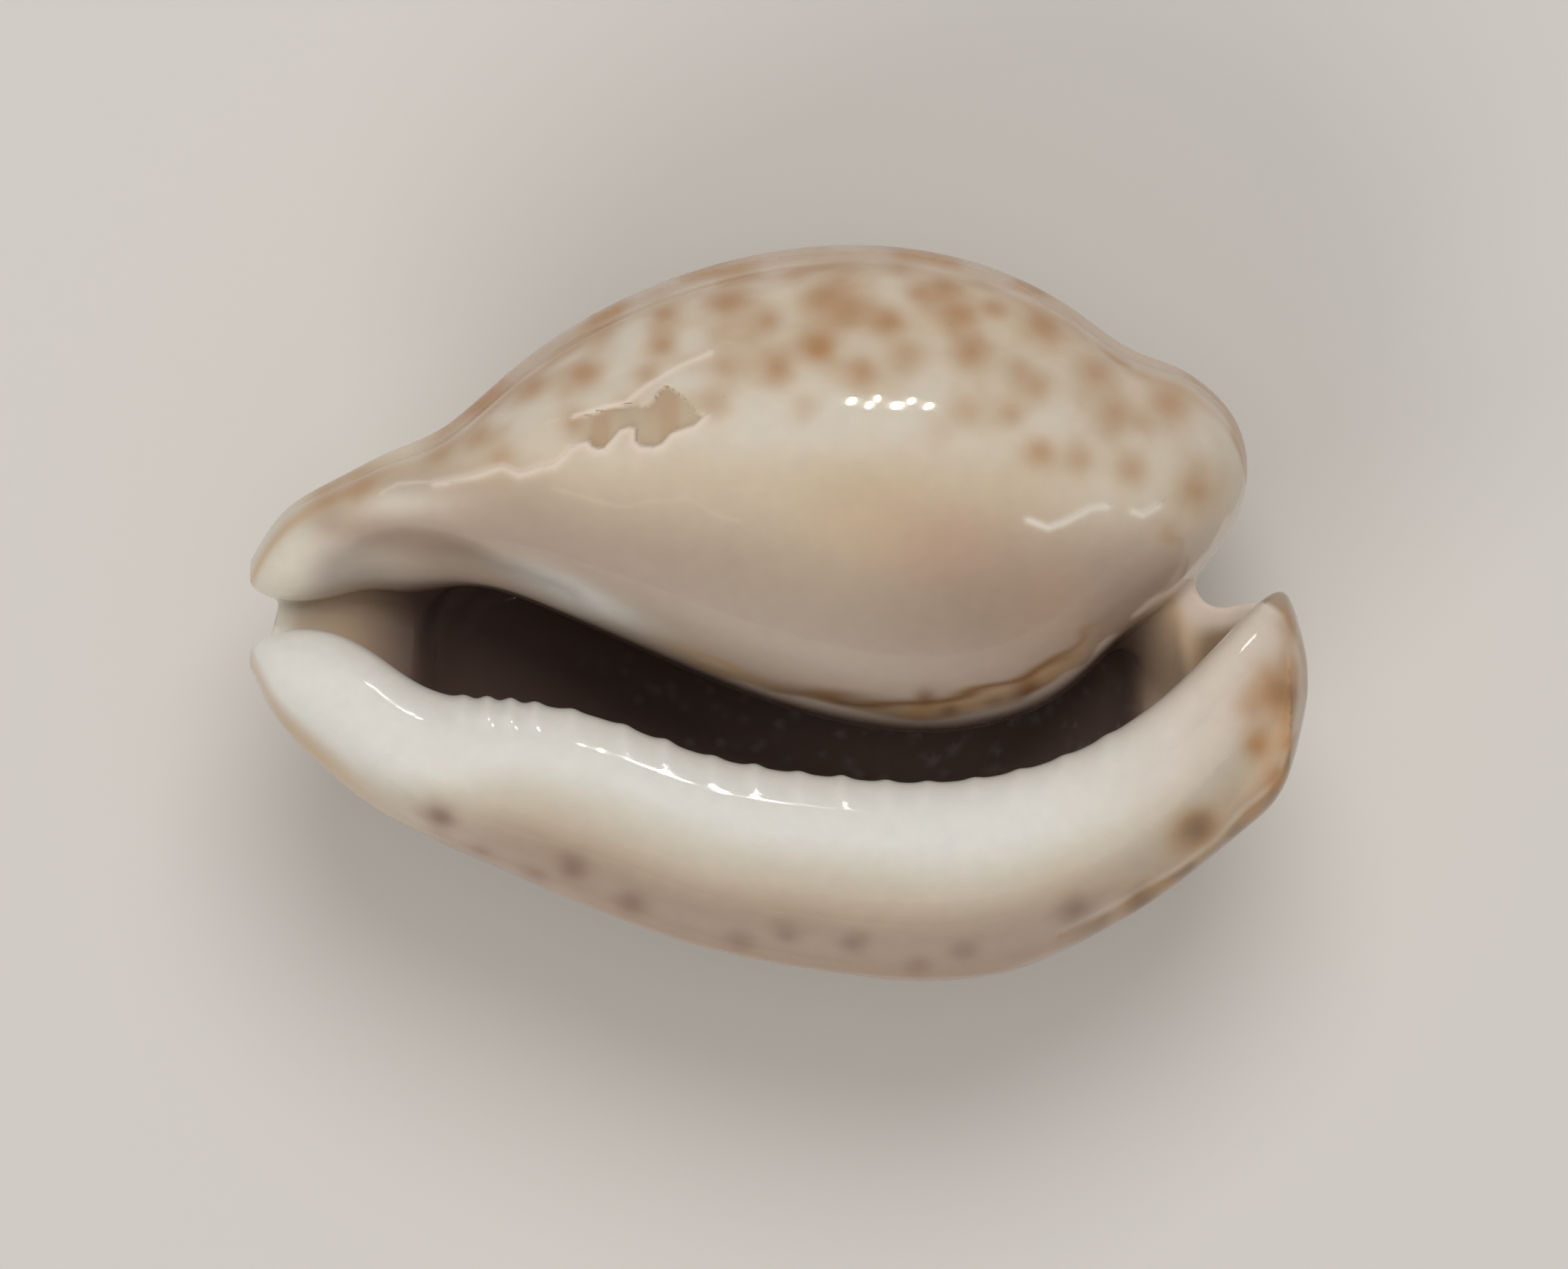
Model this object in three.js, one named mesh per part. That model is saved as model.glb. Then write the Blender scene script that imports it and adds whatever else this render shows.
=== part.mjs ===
// A wide-mouthed cowrie shell lying on its back, with its mouth up. It is one piece that grew as one:
// the last whorl bulges on the columella's side, a thin wall bowls round below it, and the outer lip
// rolls back over the wall's edge. Millimetres, +X to the rear end, +Y to the columella's side, +Z up.
import * as THREE from 'three';

// Wall and blends
const WALL_THICKNESS = 2.4;
const END_THICKENING = 0.6; // what the wall gains towards its two ends
const RIM_ABOVE_EQUATOR = 0.6; // how far the wall's edge stands over its widest line
const RIM_ROUNDING = 1.6;
const LAYER_ROUNDING = 0.3;
const DEEP_FILLET = 6.5; // between the wall and the whorl inside the shell, where they close up
const DEEP_FILLET_TOP = 16;
const EDGE_FILLET = 0.8; // between them at the two notches
const EDGE_FILLET_BOTTOM = 19.5;
const UNDER_LIP_FILLET = 2;
const OUTER_LIP_FILLET = 1.2;
const TIP_PLACE = 0.9999; // the last place towards a tip at which a curve is read

// The last whorl, from its front tip to its rear tip. Each curve is a list of [x, value] points:
// the margin and the columella's edge as seen from above, then the heights of the section.
const WHORL = {
  tips: [-30, 26.6],
  lean: [[-30, -2], [-14, -2], [2, -2], [16, -2.5], [26.6, -6]],
  upperEdge: [
    [-30, 2.2], [-29.4, 3.7], [-28.1, 5.6], [-25, 7.6], [-21.9, 9.1], [-19, 10.4], [-15.2, 13.6],
    [-8.6, 17.8], [-1.9, 20.1], [3.9, 20.8], [10.1, 20.1], [16.8, 17.2], [19.6, 15.2], [22.5, 14],
    [24.5, 12.7], [25.9, 11], [26.6, 8.2],
  ],
  lowerEdge: [
    [-30, 2.2], [-29.4, 1.2], [-28.1, 0.75], [-25, 0.9], [-22.8, 1.25], [-20.7, 1.1], [-18.4, 1.5],
    [-15.2, 1.05], [-12.1, -0.2], [-8.6, -1.75], [-1.9, -4.6], [3.9, -6.3], [8.6, -6.8], [13.6, -5.9],
    [16.8, -4.1], [19, -2], [22.5, 0.8], [24.5, 3], [25.9, 5.1], [26.6, 8.2],
  ],
  equator: [[-30, 22], [-25, 21.3], [-15.2, 19.7], [3.9, 18.4], [19, 18.3], [26.6, 17.6]],
  top: [
    [-30, 22], [-28.1, 24.7], [-21.9, 27.3], [-12.1, 29.6], [3.9, 31], [13.6, 29.9], [19, 27.9],
    [22.5, 25.7], [24.5, 23.6], [25.9, 20.9], [26.6, 17.6],
  ],
  bottom: [
    [-30, 22], [-28.1, 19.6], [-21.9, 17], [-12.1, 12.2], [-1.9, 8.4], [5.5, 7.6], [13.6, 9],
    [19, 11.4], [24.5, 13.8], [26.6, 17.6],
  ],
};

// The outside of the thin wall. It leans towards the whorl's weight, so the shell balances on its back.
const OUTSIDE = {
  tips: [-28.9, 29.4],
  lean: [[-28.9, 1.6], [-14, 1.7], [2, 1.8], [16, 2.6], [24, 5.5], [29.4, 7]],
  upperEdge: [
    [-28.9, -2], [-28.5, -0.2], [-27.4, 3.8], [-25, 6.8], [-21.9, 8.8], [-19, 10.1], [-15.2, 13.3],
    [-8.6, 17.5], [-1.9, 19.8], [3.9, 20.5], [10.1, 19.8], [13.6, 18.4], [16.8, 15.8], [19, 12.9],
    [21, 8.9], [22.5, 4.6], [23.4, 1.9], [24.8, 0.3], [26.4, 0.5], [27.6, 0.2], [28.8, -1.8],
    [29.4, -4.4],
  ],
  lowerEdge: [
    [-28.9, -2], [-28.5, -4.2], [-27.4, -6.4], [-25, -9], [-21.9, -11.4], [-17.5, -13.6],
    [-12.1, -15.9], [-5.5, -18.3], [3.9, -20.2], [8, -20.5], [13.6, -20], [19, -17.5],
    [22.5, -15.2], [26.4, -12], [28.4, -9], [29.4, -4.4],
  ],
  equator: [[-28.9, 20.6], [-25, 19.8], [-12.1, 19.3], [6, 18.9], [19, 18.9], [25, 18.9], [29.4, 20.6]],
  bottom: [
    [-28.9, 20.6], [-28.5, 18.4], [-27.4, 16.4], [-25, 13.6], [-21.9, 10.8], [-17.5, 7.4], [-8.6, 2.3],
    [-1.9, 0], [2.5, -0.4], [7, 0.1], [13.6, 2.4], [19, 6.3], [22.5, 10], [26.4, 15], [28.4, 18],
    [29.4, 20.6],
  ],
};

// The outer lip: its inner edge and outer margin as seen from above, and the heights of its crest
// and margin. Three rounds of these radii, on a slant, make its section.
const LIP = {
  tips: [-30, 30],
  innerEdge: [
    [-30, -2.9], [-29.5, -1.7], [-28.8, -1.45], [-27, -1.2], [-25, -1.5], [-22.8, -2.6], [-20.1, -4.4],
    [-15.7, -5.3], [-10.8, -5.9], [-4.1, -8.2], [2.5, -9.35], [7, -9.7], [12.8, -9.2], [18.1, -7.3],
    [21.6, -4.9], [25.2, -1.4], [27.9, 1], [28.7, 0.9], [29.2, -0.1], [29.65, -1.5], [30, -3.9],
  ],
  outerEdge: [
    [-30, -2.9], [-29.5, -4], [-28.8, -5.4], [-27, -7.6], [-25, -9.4], [-22.8, -11.1], [-17.9, -13.5],
    [-10.8, -16.5], [-4.1, -18.9], [2.5, -20.2], [7, -20.8], [12.8, -20.3], [18.1, -18.2],
    [21.6, -16.1], [26.5, -12.2], [28.7, -9.6], [29.65, -6.3], [30, -3.9],
  ],
  crest: [
    [-30, 22.5], [-29.5, 24.2], [-27, 26], [-22.8, 27.1], [-15.7, 28], [2.5, 28.8], [12.8, 28.9],
    [21.6, 28.4], [26.5, 27.1], [28.7, 25.6], [29.65, 24], [30, 22.5],
  ],
  margin: [[-30, 22.5], [-28.8, 21.6], [-20.1, 20], [-4.1, 19.2], [12.8, 19.1], [21.6, 19.6], [30, 22.5]],
};
const LIP_EDGE_RADIUS = 2.3;
const LIP_MIDDLE_RADIUS = 3.5;
const LIP_MARGIN_RADIUS = 3;
const LIP_EDGE_SHARE = 0.36; // no radius is more than its share of the lip's width
const LIP_MIDDLE_SHARE = 0.34;
const LIP_MARGIN_SHARE = 0.3;
const LIP_MIDDLE_PLACE = 0.45; // as a share of the width, in from the mouth
const LIP_LEAST_WIDTH = 0.02;
const LIP_MARGIN_RISE = 1.8; // from the margin's widest line up to the middle of its round
const LIP_ROUNDING = 2.5;
const LIP_FULL_WIDTH = 8; // below this width the lip's rounding and the dip of its edge shrink
const LIP_EDGE_DIP = 0.25;
const LIP_MIDDLE_FALL = 0.035; // how much the middle sinks for each millimetre past the next width
const LIP_FALL_WIDTH = 5;

// The fossula, a smooth trough along the front of the columella, scooped out by a round bar
const FOSSULA = { from: [-27.5, -1.2, 26.6], to: [-17, -1.9, 26.2], radius: 5, rounding: 0.8 };

// The mesh: a surface net on a grid, drawn onto the true surface. The grid's planes crowd towards
// both ends of the shell, and upwards to the lip and the canals.
const GRID_LOW = [-31.4, -22.2, -1.6];
const GRID_HIGH = [31.4, 22.4, 33];
const GRID_CELLS = [36, 29, 23];
const END_CROWDING = 0.3;
const TOP_CROWDING = 0.3;
const GRID_SPREAD = [
  (share) => share - END_CROWDING * Math.sin(2 * Math.PI * share) / (2 * Math.PI),
  (share) => share,
  (share) => share + TOP_CROWDING * Math.sin(Math.PI * share) / Math.PI,
];
const SMOOTHING_ROUNDS = 5;
const SLOPE_STEP = 0.02;
const LONGEST_MOVE = 0.5;
const LEAST_STEEPNESS = 0.05;
const EVENING_SHARE = 0.5; // of the way to the middle of its neighbours

// A natural cubic spline through [x, value] points, level of curvature at its ends
function smoothCurve(points) {
  const last = points.length - 1;
  const bend = new Array(last + 1).fill(0);
  const carry = new Array(last + 1).fill(0);
  for (let i = 1; i < last; i++) {
    const [[x0, v0], [x1, v1], [x2, v2]] = points.slice(i - 1, i + 2);
    const ratio = (x1 - x0) / (x2 - x0);
    const pivot = ratio * bend[i - 1] + 2;
    const turn = (v2 - v1) / (x2 - x1) - (v1 - v0) / (x1 - x0);
    bend[i] = (ratio - 1) / pivot;
    carry[i] = ((6 * turn) / (x2 - x0) - ratio * carry[i - 1]) / pivot;
  }
  for (let i = last - 1; i >= 0; i--) bend[i] = bend[i] * bend[i + 1] + carry[i];
  return (x) => {
    let i = 1;
    while (i < last && points[i][0] < x) i++;
    const [[x0, v0], [x1, v1]] = [points[i - 1], points[i]];
    const span = x1 - x0;
    const a = (x1 - x) / span;
    const b = (x - x0) / span;
    const sag = ((a ** 3 - a) * bend[i - 1] + (b ** 3 - b) * bend[i]) * span * span / 6;
    return a * v0 + b * v1 + sag;
  };
}

// A body's place along x runs from -1 to 1 between its tips. Its curves are splined over the angle
// whose sine is that place, which makes the tips round.
function placeIn(body, x) {
  const [first, last] = body.tips;
  return (2 * x - first - last) / (last - first);
}

function angleAt(body, x) {
  return Math.asin(THREE.MathUtils.clamp(placeIn(body, x), -TIP_PLACE, TIP_PLACE));
}

function readCurves(body, names) {
  const curves = {};
  for (const name of names) {
    const angleOf = (x) => Math.asin(THREE.MathUtils.clamp(placeIn(body, x), -1, 1));
    curves[name] = smoothCurve(body[name].map(([x, value]) => [angleOf(x), value]));
  }
  return curves;
}

const whorlCurves = readCurves(WHORL, ['lean', 'upperEdge', 'lowerEdge', 'equator', 'top', 'bottom']);
const outsideCurves = readCurves(OUTSIDE, ['lean', 'upperEdge', 'lowerEdge', 'equator', 'bottom']);
const lipCurves = readCurves(LIP, ['innerEdge', 'outerEdge', 'crest', 'margin']);

// How far out a point is, as a share of the way from a body's axis to its surface
function shareOut(body, curves, x, y, z) {
  const angle = angleAt(body, x);
  const upper = curves.upperEdge(angle);
  const lower = curves.lowerEdge(angle);
  const equator = curves.equator(angle);
  const bottom = curves.bottom(angle);
  const top = curves.top ? curves.top(angle) : 2 * equator - bottom;
  const half = z > equator ? top - equator : equator - bottom;
  const opening = Math.cos(angle);
  const height = (z - equator) / half * opening;
  const sink = Math.min(Math.max(-height, 0), 1);
  const middle = (upper + lower) / 2 + curves.lean(angle) * sink * sink;
  const across = (y - middle) / (upper - lower) * 2 * opening;
  return Math.hypot(placeIn(body, x), across, height);
}

function distanceTo(body, curves, x, y, z) {
  const share = (dx, dy, dz) => shareOut(body, curves, x + dx, y + dy, z + dz);
  const h = SLOPE_STEP;
  const slope = Math.hypot(
    share(h, 0, 0) - share(-h, 0, 0),
    share(0, h, 0) - share(0, -h, 0),
    share(0, 0, h) - share(0, 0, -h),
  ) / (2 * h);
  return (share(0, 0, 0) - 1) / slope;
}

// Joins and common parts of two fields, rounded over a width
function join(a, b, width) {
  const near = Math.max(width - Math.abs(a - b), 0) / width;
  return Math.min(a, b) - near * near * width / 4;
}

function common(a, b, width) {
  return -join(-a, -b, width);
}

// Distance to a bar between two round ends [y, z, radius] in a section
function barDistance(y, z, [y1, z1, radius1], [y2, z2, radius2]) {
  const [dy, dz] = [y2 - y1, z2 - z1];
  const along = ((y - y1) * dy + (z - z1) * dz) / (dy * dy + dz * dz + 1e-6);
  const t = THREE.MathUtils.clamp(along, 0, 1);
  return Math.hypot(y - y1 - t * dy, z - z1 - t * dz) - THREE.MathUtils.lerp(radius1, radius2, t);
}

function lipDistance(x, y, z) {
  const angle = angleAt(LIP, x);
  const inner = lipCurves.innerEdge(angle);
  const outer = lipCurves.outerEdge(angle);
  const crest = lipCurves.crest(angle);
  const wide = Math.max(inner - outer, LIP_LEAST_WIDTH);
  const edgeRadius = Math.min(LIP_EDGE_RADIUS, wide * LIP_EDGE_SHARE);
  const middleRadius = Math.min(LIP_MIDDLE_RADIUS, wide * LIP_MIDDLE_SHARE);
  const marginRadius = Math.min(LIP_MARGIN_RADIUS, wide * LIP_MARGIN_SHARE);
  const fullness = Math.min(1, wide / LIP_FULL_WIDTH);
  const dip = LIP_EDGE_DIP * fullness;
  const edge = [inner - edgeRadius, crest - edgeRadius - dip, edgeRadius];
  const fall = LIP_MIDDLE_FALL * Math.max(wide - LIP_FALL_WIDTH, 0);
  const middle = [inner - LIP_MIDDLE_PLACE * wide, crest - middleRadius - fall, middleRadius];
  const rise = LIP_MARGIN_RISE * marginRadius / LIP_MARGIN_RADIUS;
  const margin = [outer + marginRadius, lipCurves.margin(angle) + rise, marginRadius];
  const innerBar = barDistance(y, z, edge, middle);
  const outerBar = barDistance(y, z, middle, margin);
  const section = join(innerBar, outerBar, LIP_ROUNDING * fullness);
  const past = Math.max(Math.abs(placeIn(LIP, x)) - TIP_PLACE, 0) * (LIP.tips[1] - LIP.tips[0]) / 2;
  return section + past;
}

const fossulaLine = new THREE.Line3(new THREE.Vector3(...FOSSULA.from), new THREE.Vector3(...FOSSULA.to));

function fossulaDistance(x, y, z) {
  const point = new THREE.Vector3(x, y, z);
  const nearest = fossulaLine.closestPointToPoint(point, true, new THREE.Vector3());
  return point.distanceTo(nearest) - FOSSULA.radius;
}

// The whole shell as a field: below zero inside the shell's material, above zero outside it
function shellField(x, y, z) {
  const whorl = common(distanceTo(WHORL, whorlCurves, x, y, z), -fossulaDistance(x, y, z), FOSSULA.rounding);
  const outside = distanceTo(OUTSIDE, outsideCurves, x, y, z);
  const rim = outsideCurves.equator(angleAt(OUTSIDE, x)) + RIM_ABOVE_EQUATOR;
  const thickness = WALL_THICKNESS + END_THICKENING * placeIn(OUTSIDE, x) ** 2;
  const layer = common(outside, -(outside + thickness), LAYER_ROUNDING);
  const bowl = common(layer, z - rim, RIM_ROUNDING);
  const raised = THREE.MathUtils.smoothstep(z, DEEP_FILLET_TOP, EDGE_FILLET_BOTTOM);
  const fillet = THREE.MathUtils.lerp(DEEP_FILLET, EDGE_FILLET, raised);
  const lip = lipDistance(x, y, z);
  const filleted = join(join(bowl, whorl, fillet), lip, UNDER_LIP_FILLET);
  const outermost = join(join(outside, whorl, EDGE_FILLET), lip, OUTER_LIP_FILLET);
  return Math.max(filleted, outermost);
}

// Steps a point down the field's slope onto the surface
function drawOnto(point, steps) {
  const h = SLOPE_STEP;
  for (let i = 0; i < steps; i++) {
    const [x, y, z] = point;
    const slope = [
      (shellField(x + h, y, z) - shellField(x - h, y, z)) / (2 * h),
      (shellField(x, y + h, z) - shellField(x, y - h, z)) / (2 * h),
      (shellField(x, y, z + h) - shellField(x, y, z - h)) / (2 * h),
    ];
    const steepness = Math.max(slope[0] ** 2 + slope[1] ** 2 + slope[2] ** 2, LEAST_STEEPNESS);
    const move = THREE.MathUtils.clamp(shellField(x, y, z), -LONGEST_MOVE, LONGEST_MOVE) / steepness;
    for (let axis = 0; axis < 3; axis++) point[axis] -= move * slope[axis];
  }
}

// The corners round each face of a grid cell, as numbers with one bit for each axis
const FACE_RINGS = [0, 1, 2].flatMap((axis) => [0, 1].map((side) => {
  const [u, v] = [2 ** ((axis + 1) % 3), 2 ** ((axis + 2) % 3)];
  const first = side * 2 ** axis;
  return [first, first + u, first + u + v, first + v];
}));

const edgeName = (a, b) => Math.min(a, b) * 8 + Math.max(a, b);

// Which sheet of the surface crosses each edge of a cell. On each face the crossings at the two ends
// of a run of outside corners belong together, so neighbouring cells agree and thin walls stay whole.
function sheetsThrough(isInside) {
  const links = new Map();
  const sheetOf = (edge) => {
    let found = edge;
    while (links.has(found) && links.get(found) !== found) found = links.get(found);
    return found;
  };
  for (const ring of FACE_RINGS) {
    for (let i = 0; i < 4; i++) {
      const before = ring[(i + 3) % 4];
      if (isInside[ring[i]] || !isInside[before]) continue;
      let j = i;
      while (!isInside[ring[(j + 1) % 4]]) j++;
      links.set(sheetOf(edgeName(before, ring[i])), sheetOf(edgeName(ring[j % 4], ring[(j + 1) % 4])));
    }
  }
  return sheetOf;
}

// A surface net: each grid cell has one point for each sheet of the surface that crosses it, and
// each grid edge that the surface crosses has a quad round it. The wall's two faces stay apart.
function surfaceNet(field) {
  const counts = GRID_CELLS.map((cellCount) => cellCount + 1);
  const place = (cell) => cell.map((index, axis) => {
    const share = GRID_SPREAD[axis](index / GRID_CELLS[axis]);
    return THREE.MathUtils.lerp(GRID_LOW[axis], GRID_HIGH[axis], share);
  });
  const key = ([i, j, k]) => (i * counts[1] + j) * counts[2] + k;
  const values = new Float64Array(counts[0] * counts[1] * counts[2]);
  const cells = [];
  for (let i = 0; i < counts[0]; i++) {
    for (let j = 0; j < counts[1]; j++) {
      for (let k = 0; k < counts[2]; k++) {
        cells.push([i, j, k]);
        values[key([i, j, k])] = field(...place([i, j, k]));
      }
    }
  }
  const sheets = new Map();
  const sheetsIn = ([i, j, k]) => {
    const name = key([i, j, k]);
    if (!sheets.has(name)) {
      const corners = [0, 1, 2, 3, 4, 5, 6, 7];
      const isInside = corners.map((c) => values[key([i + (c & 1), j + ((c >> 1) & 1), k + (c >> 2)])] < 0);
      sheets.set(name, sheetsThrough(isInside));
    }
    return sheets.get(name);
  };
  const sums = new Map();
  const quads = [];
  for (const cell of cells) {
    for (let axis = 0; axis < 3; axis++) {
      const next = cell.slice();
      next[axis] += 1;
      if (next[axis] >= counts[axis]) continue;
      const [here, there] = [values[key(cell)], values[key(next)]];
      if (here < 0 === there < 0) continue;
      const crossing = place(cell);
      crossing[axis] += (place(next)[axis] - crossing[axis]) * here / (here - there);
      const [u, v] = [(axis + 1) % 3, (axis + 2) % 3];
      const corners = [[0, 0], [1, 0], [1, 1], [0, 1]].map(([du, dv]) => {
        const around = cell.slice();
        around[u] -= du;
        around[v] -= dv;
        const near = du * 2 ** u + dv * 2 ** v;
        const sheet = sheetsIn(around)(edgeName(near, near + 2 ** axis));
        const name = [key(around), sheet].join();
        if (!sums.has(name)) sums.set(name, { index: sums.size, total: [0, 0, 0], count: 0 });
        const sum = sums.get(name);
        for (let a = 0; a < 3; a++) sum.total[a] += crossing[a];
        sum.count += 1;
        return sum.index;
      });
      quads.push(here < 0 ? corners : corners.reverse());
    }
  }
  const points = [];
  for (const { index, total, count } of sums.values()) points[index] = total.map((sum) => sum / count);
  return { points, quads };
}

// Evens out the points along the surface, and draws each back onto it
function smooth({ points, quads }) {
  const neighbours = points.map(() => new Set());
  for (const quad of quads) {
    quad.forEach((corner, i) => {
      neighbours[corner].add(quad[(i + 1) % 4]);
      neighbours[corner].add(quad[(i + 3) % 4]);
    });
  }
  for (const point of points) drawOnto(point, 3);
  for (let round = 0; round < SMOOTHING_ROUNDS; round++) {
    const middles = neighbours.map((near) => {
      const middle = [0, 0, 0];
      for (const other of near) points[other].forEach((value, axis) => { middle[axis] += value / near.size; });
      return middle;
    });
    points.forEach((point, i) => {
      for (let axis = 0; axis < 3; axis++) point[axis] += EVENING_SHARE * (middles[i][axis] - point[axis]);
      drawOnto(point, 1);
    });
  }
  for (const point of points) drawOnto(point, 2);
}

const distanceBetween = (a, b) => Math.hypot(a[0] - b[0], a[1] - b[1], a[2] - b[2]);

// Each quad is parted along its shorter diagonal
function trianglesOf({ points, quads }) {
  return quads.flatMap(([a, b, c, d]) => {
    const straight = distanceBetween(points[a], points[c]) < distanceBetween(points[b], points[d]);
    return straight ? [a, b, c, a, c, d] : [a, b, d, b, c, d];
  });
}

function shellGeometry() {
  const net = surfaceNet(shellField);
  smooth(net);
  for (const point of net.points) point[2] = Math.max(point[2], 0); // the back's lowest spot is worn flat
  const geometry = new THREE.BufferGeometry();
  geometry.setAttribute('position', new THREE.Float32BufferAttribute(net.points.flat(), 3));
  geometry.setIndex(trianglesOf(net));
  geometry.computeVertexNormals();
  return geometry;
}

const porcelain = new THREE.MeshStandardMaterial({ color: '#d4cdbe', roughness: 0.15, metalness: 0 });

const shell = new THREE.Mesh(shellGeometry(), porcelain);
shell.name = 'cowrie_shell';

const part = new THREE.Group();
part.add(shell);

export default part;
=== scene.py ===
"""A wide-mouthed cowrie shell on its back, seen from straight above.

Sizes and places are in millimetres in the frame of the CAD model: +X to the rear end, +Y to the
columella's side, +Z up out of the mouth. Only the finished mesh, the lamps and the camera are in metres.
"""
import math

import bpy
import numpy as np
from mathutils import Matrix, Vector


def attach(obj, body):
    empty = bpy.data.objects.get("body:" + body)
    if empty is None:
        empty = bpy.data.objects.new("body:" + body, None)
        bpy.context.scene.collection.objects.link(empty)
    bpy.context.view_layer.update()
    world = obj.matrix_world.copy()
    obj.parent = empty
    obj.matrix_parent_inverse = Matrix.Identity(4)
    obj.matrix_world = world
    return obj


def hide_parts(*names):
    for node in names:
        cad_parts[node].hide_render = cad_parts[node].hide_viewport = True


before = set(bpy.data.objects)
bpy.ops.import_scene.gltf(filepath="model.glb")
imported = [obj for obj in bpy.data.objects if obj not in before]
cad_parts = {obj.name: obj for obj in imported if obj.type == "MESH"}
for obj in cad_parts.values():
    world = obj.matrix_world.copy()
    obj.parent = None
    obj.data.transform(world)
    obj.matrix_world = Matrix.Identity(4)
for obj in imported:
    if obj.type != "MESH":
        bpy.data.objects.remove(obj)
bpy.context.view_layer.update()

MM = 0.001

# The wall and its blends, as in the CAD model, and how the curves are read
WALL_THICKNESS = 2.4
END_THICKENING = 0.6
RIM_ABOVE_EQUATOR = 0.6
RIM_ROUNDING = 1.6
LAYER_ROUNDING = 0.3
DEEP_FILLET = 6.5
DEEP_FILLET_TOP = 16
EDGE_FILLET = 0.8
EDGE_FILLET_BOTTOM = 19.5
UNDER_LIP_FILLET = 2
OUTER_LIP_FILLET = 1.2
TIP_PLACE = 0.9999
CURVE_SAMPLES = 4001
TINY = 1e-9  # keeps divisions away from zero
LEAN_ENDS = (0.9, 1.1)  # shares of a body's depth over which its lean stops changing the slope

# The wall's edge rolls down into the shell, softly at the canals. The CAD model has only the flat rim.
ROLL_AT_CANALS = 0.12  # a smaller value makes a softer roll
ROLL_AT_MIDDLE = 3
ROLL_FROM = (10, 21)  # how far from the middle the one changes into the other
ROLL_ROUNDING = 1.5
DEEP_ROLL_ROUNDING = 5
DEEP_ROLL_HEIGHTS = (9, 17)
CANAL_FROM = (19, 23)  # where the roll takes the place of the wall's flat rim
RIM_REMOVAL = 2  # how far the flat rim is moved out of the way there
RIM_REMOVAL_HEIGHTS = (-3, -1)  # measured from the rim

# Three bodies that blend into the shell. Each curve is a list of (x, value) points.
WHORL = {
    "tips": (-30, 26.6),
    "lean": [(-30, -2), (-14, -2), (2, -2), (16, -2.5), (26.6, -6)],
    "upper_edge": [
        (-30, 2.2), (-29.4, 3.7), (-28.1, 5.6), (-25, 7.6), (-21.9, 9.1), (-19, 10.4), (-15.2, 13.6),
        (-8.6, 17.8), (-1.9, 20.1), (3.9, 20.8), (10.1, 20.1), (16.8, 17.2), (19.6, 15.2), (22.5, 14),
        (24.5, 12.7), (25.9, 11), (26.6, 8.2),
    ],
    "lower_edge": [
        (-30, 2.2), (-29.4, 1.2), (-28.1, 0.75), (-25, 0.9), (-22.8, 1.25), (-20.7, 1.1), (-18.4, 1.5),
        (-15.2, 1.05), (-12.1, -0.2), (-8.6, -1.75), (-1.9, -4.6), (3.9, -6.3), (8.6, -6.8),
        (13.6, -5.9), (16.8, -4.1), (19, -2), (22.5, 0.8), (24.5, 3), (25.9, 5.1), (26.6, 8.2),
    ],
    "equator": [(-30, 22), (-25, 21.3), (-15.2, 19.7), (3.9, 18.4), (19, 18.3), (26.6, 17.6)],
    "top": [
        (-30, 22), (-28.1, 24.7), (-21.9, 27.3), (-12.1, 29.6), (3.9, 31), (13.6, 29.9), (19, 27.9),
        (22.5, 25.7), (24.5, 23.6), (25.9, 20.9), (26.6, 17.6),
    ],
    "bottom": [
        (-30, 22), (-28.1, 19.6), (-21.9, 17), (-12.1, 12.2), (-1.9, 8.4), (5.5, 7.6), (13.6, 9),
        (19, 11.4), (24.5, 13.8), (26.6, 17.6),
    ],
}
OUTSIDE = {
    "tips": (-28.9, 29.4),
    "lean": [(-28.9, 1.6), (-14, 1.7), (2, 1.8), (16, 2.6), (24, 5.5), (29.4, 7)],
    "upper_edge": [
        (-28.9, -2), (-28.5, -0.2), (-27.4, 3.8), (-25, 6.8), (-21.9, 8.8), (-19, 10.1), (-15.2, 13.3),
        (-8.6, 17.5), (-1.9, 19.8), (3.9, 20.5), (10.1, 19.8), (13.6, 18.4), (16.8, 15.8), (19, 12.9),
        (21, 8.9), (22.5, 4.6), (23.4, 1.9), (24.8, 0.3), (26.4, 0.5), (27.6, 0.2), (28.8, -1.8),
        (29.4, -4.4),
    ],
    "lower_edge": [
        (-28.9, -2), (-28.5, -4.2), (-27.4, -6.4), (-25, -9), (-21.9, -11.4), (-17.5, -13.6),
        (-12.1, -15.9), (-5.5, -18.3), (3.9, -20.2), (8, -20.5), (13.6, -20), (19, -17.5),
        (22.5, -15.2), (26.4, -12), (28.4, -9), (29.4, -4.4),
    ],
    "equator": [
        (-28.9, 20.6), (-25, 19.8), (-12.1, 19.3), (6, 18.9), (19, 18.9), (25, 18.9), (29.4, 20.6),
    ],
    "bottom": [
        (-28.9, 20.6), (-28.5, 18.4), (-27.4, 16.4), (-25, 13.6), (-21.9, 10.8), (-17.5, 7.4),
        (-8.6, 2.3), (-1.9, 0), (2.5, -0.4), (7, 0.1), (13.6, 2.4), (19, 6.3), (22.5, 10), (26.4, 15),
        (28.4, 18), (29.4, 20.6),
    ],
}
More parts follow.
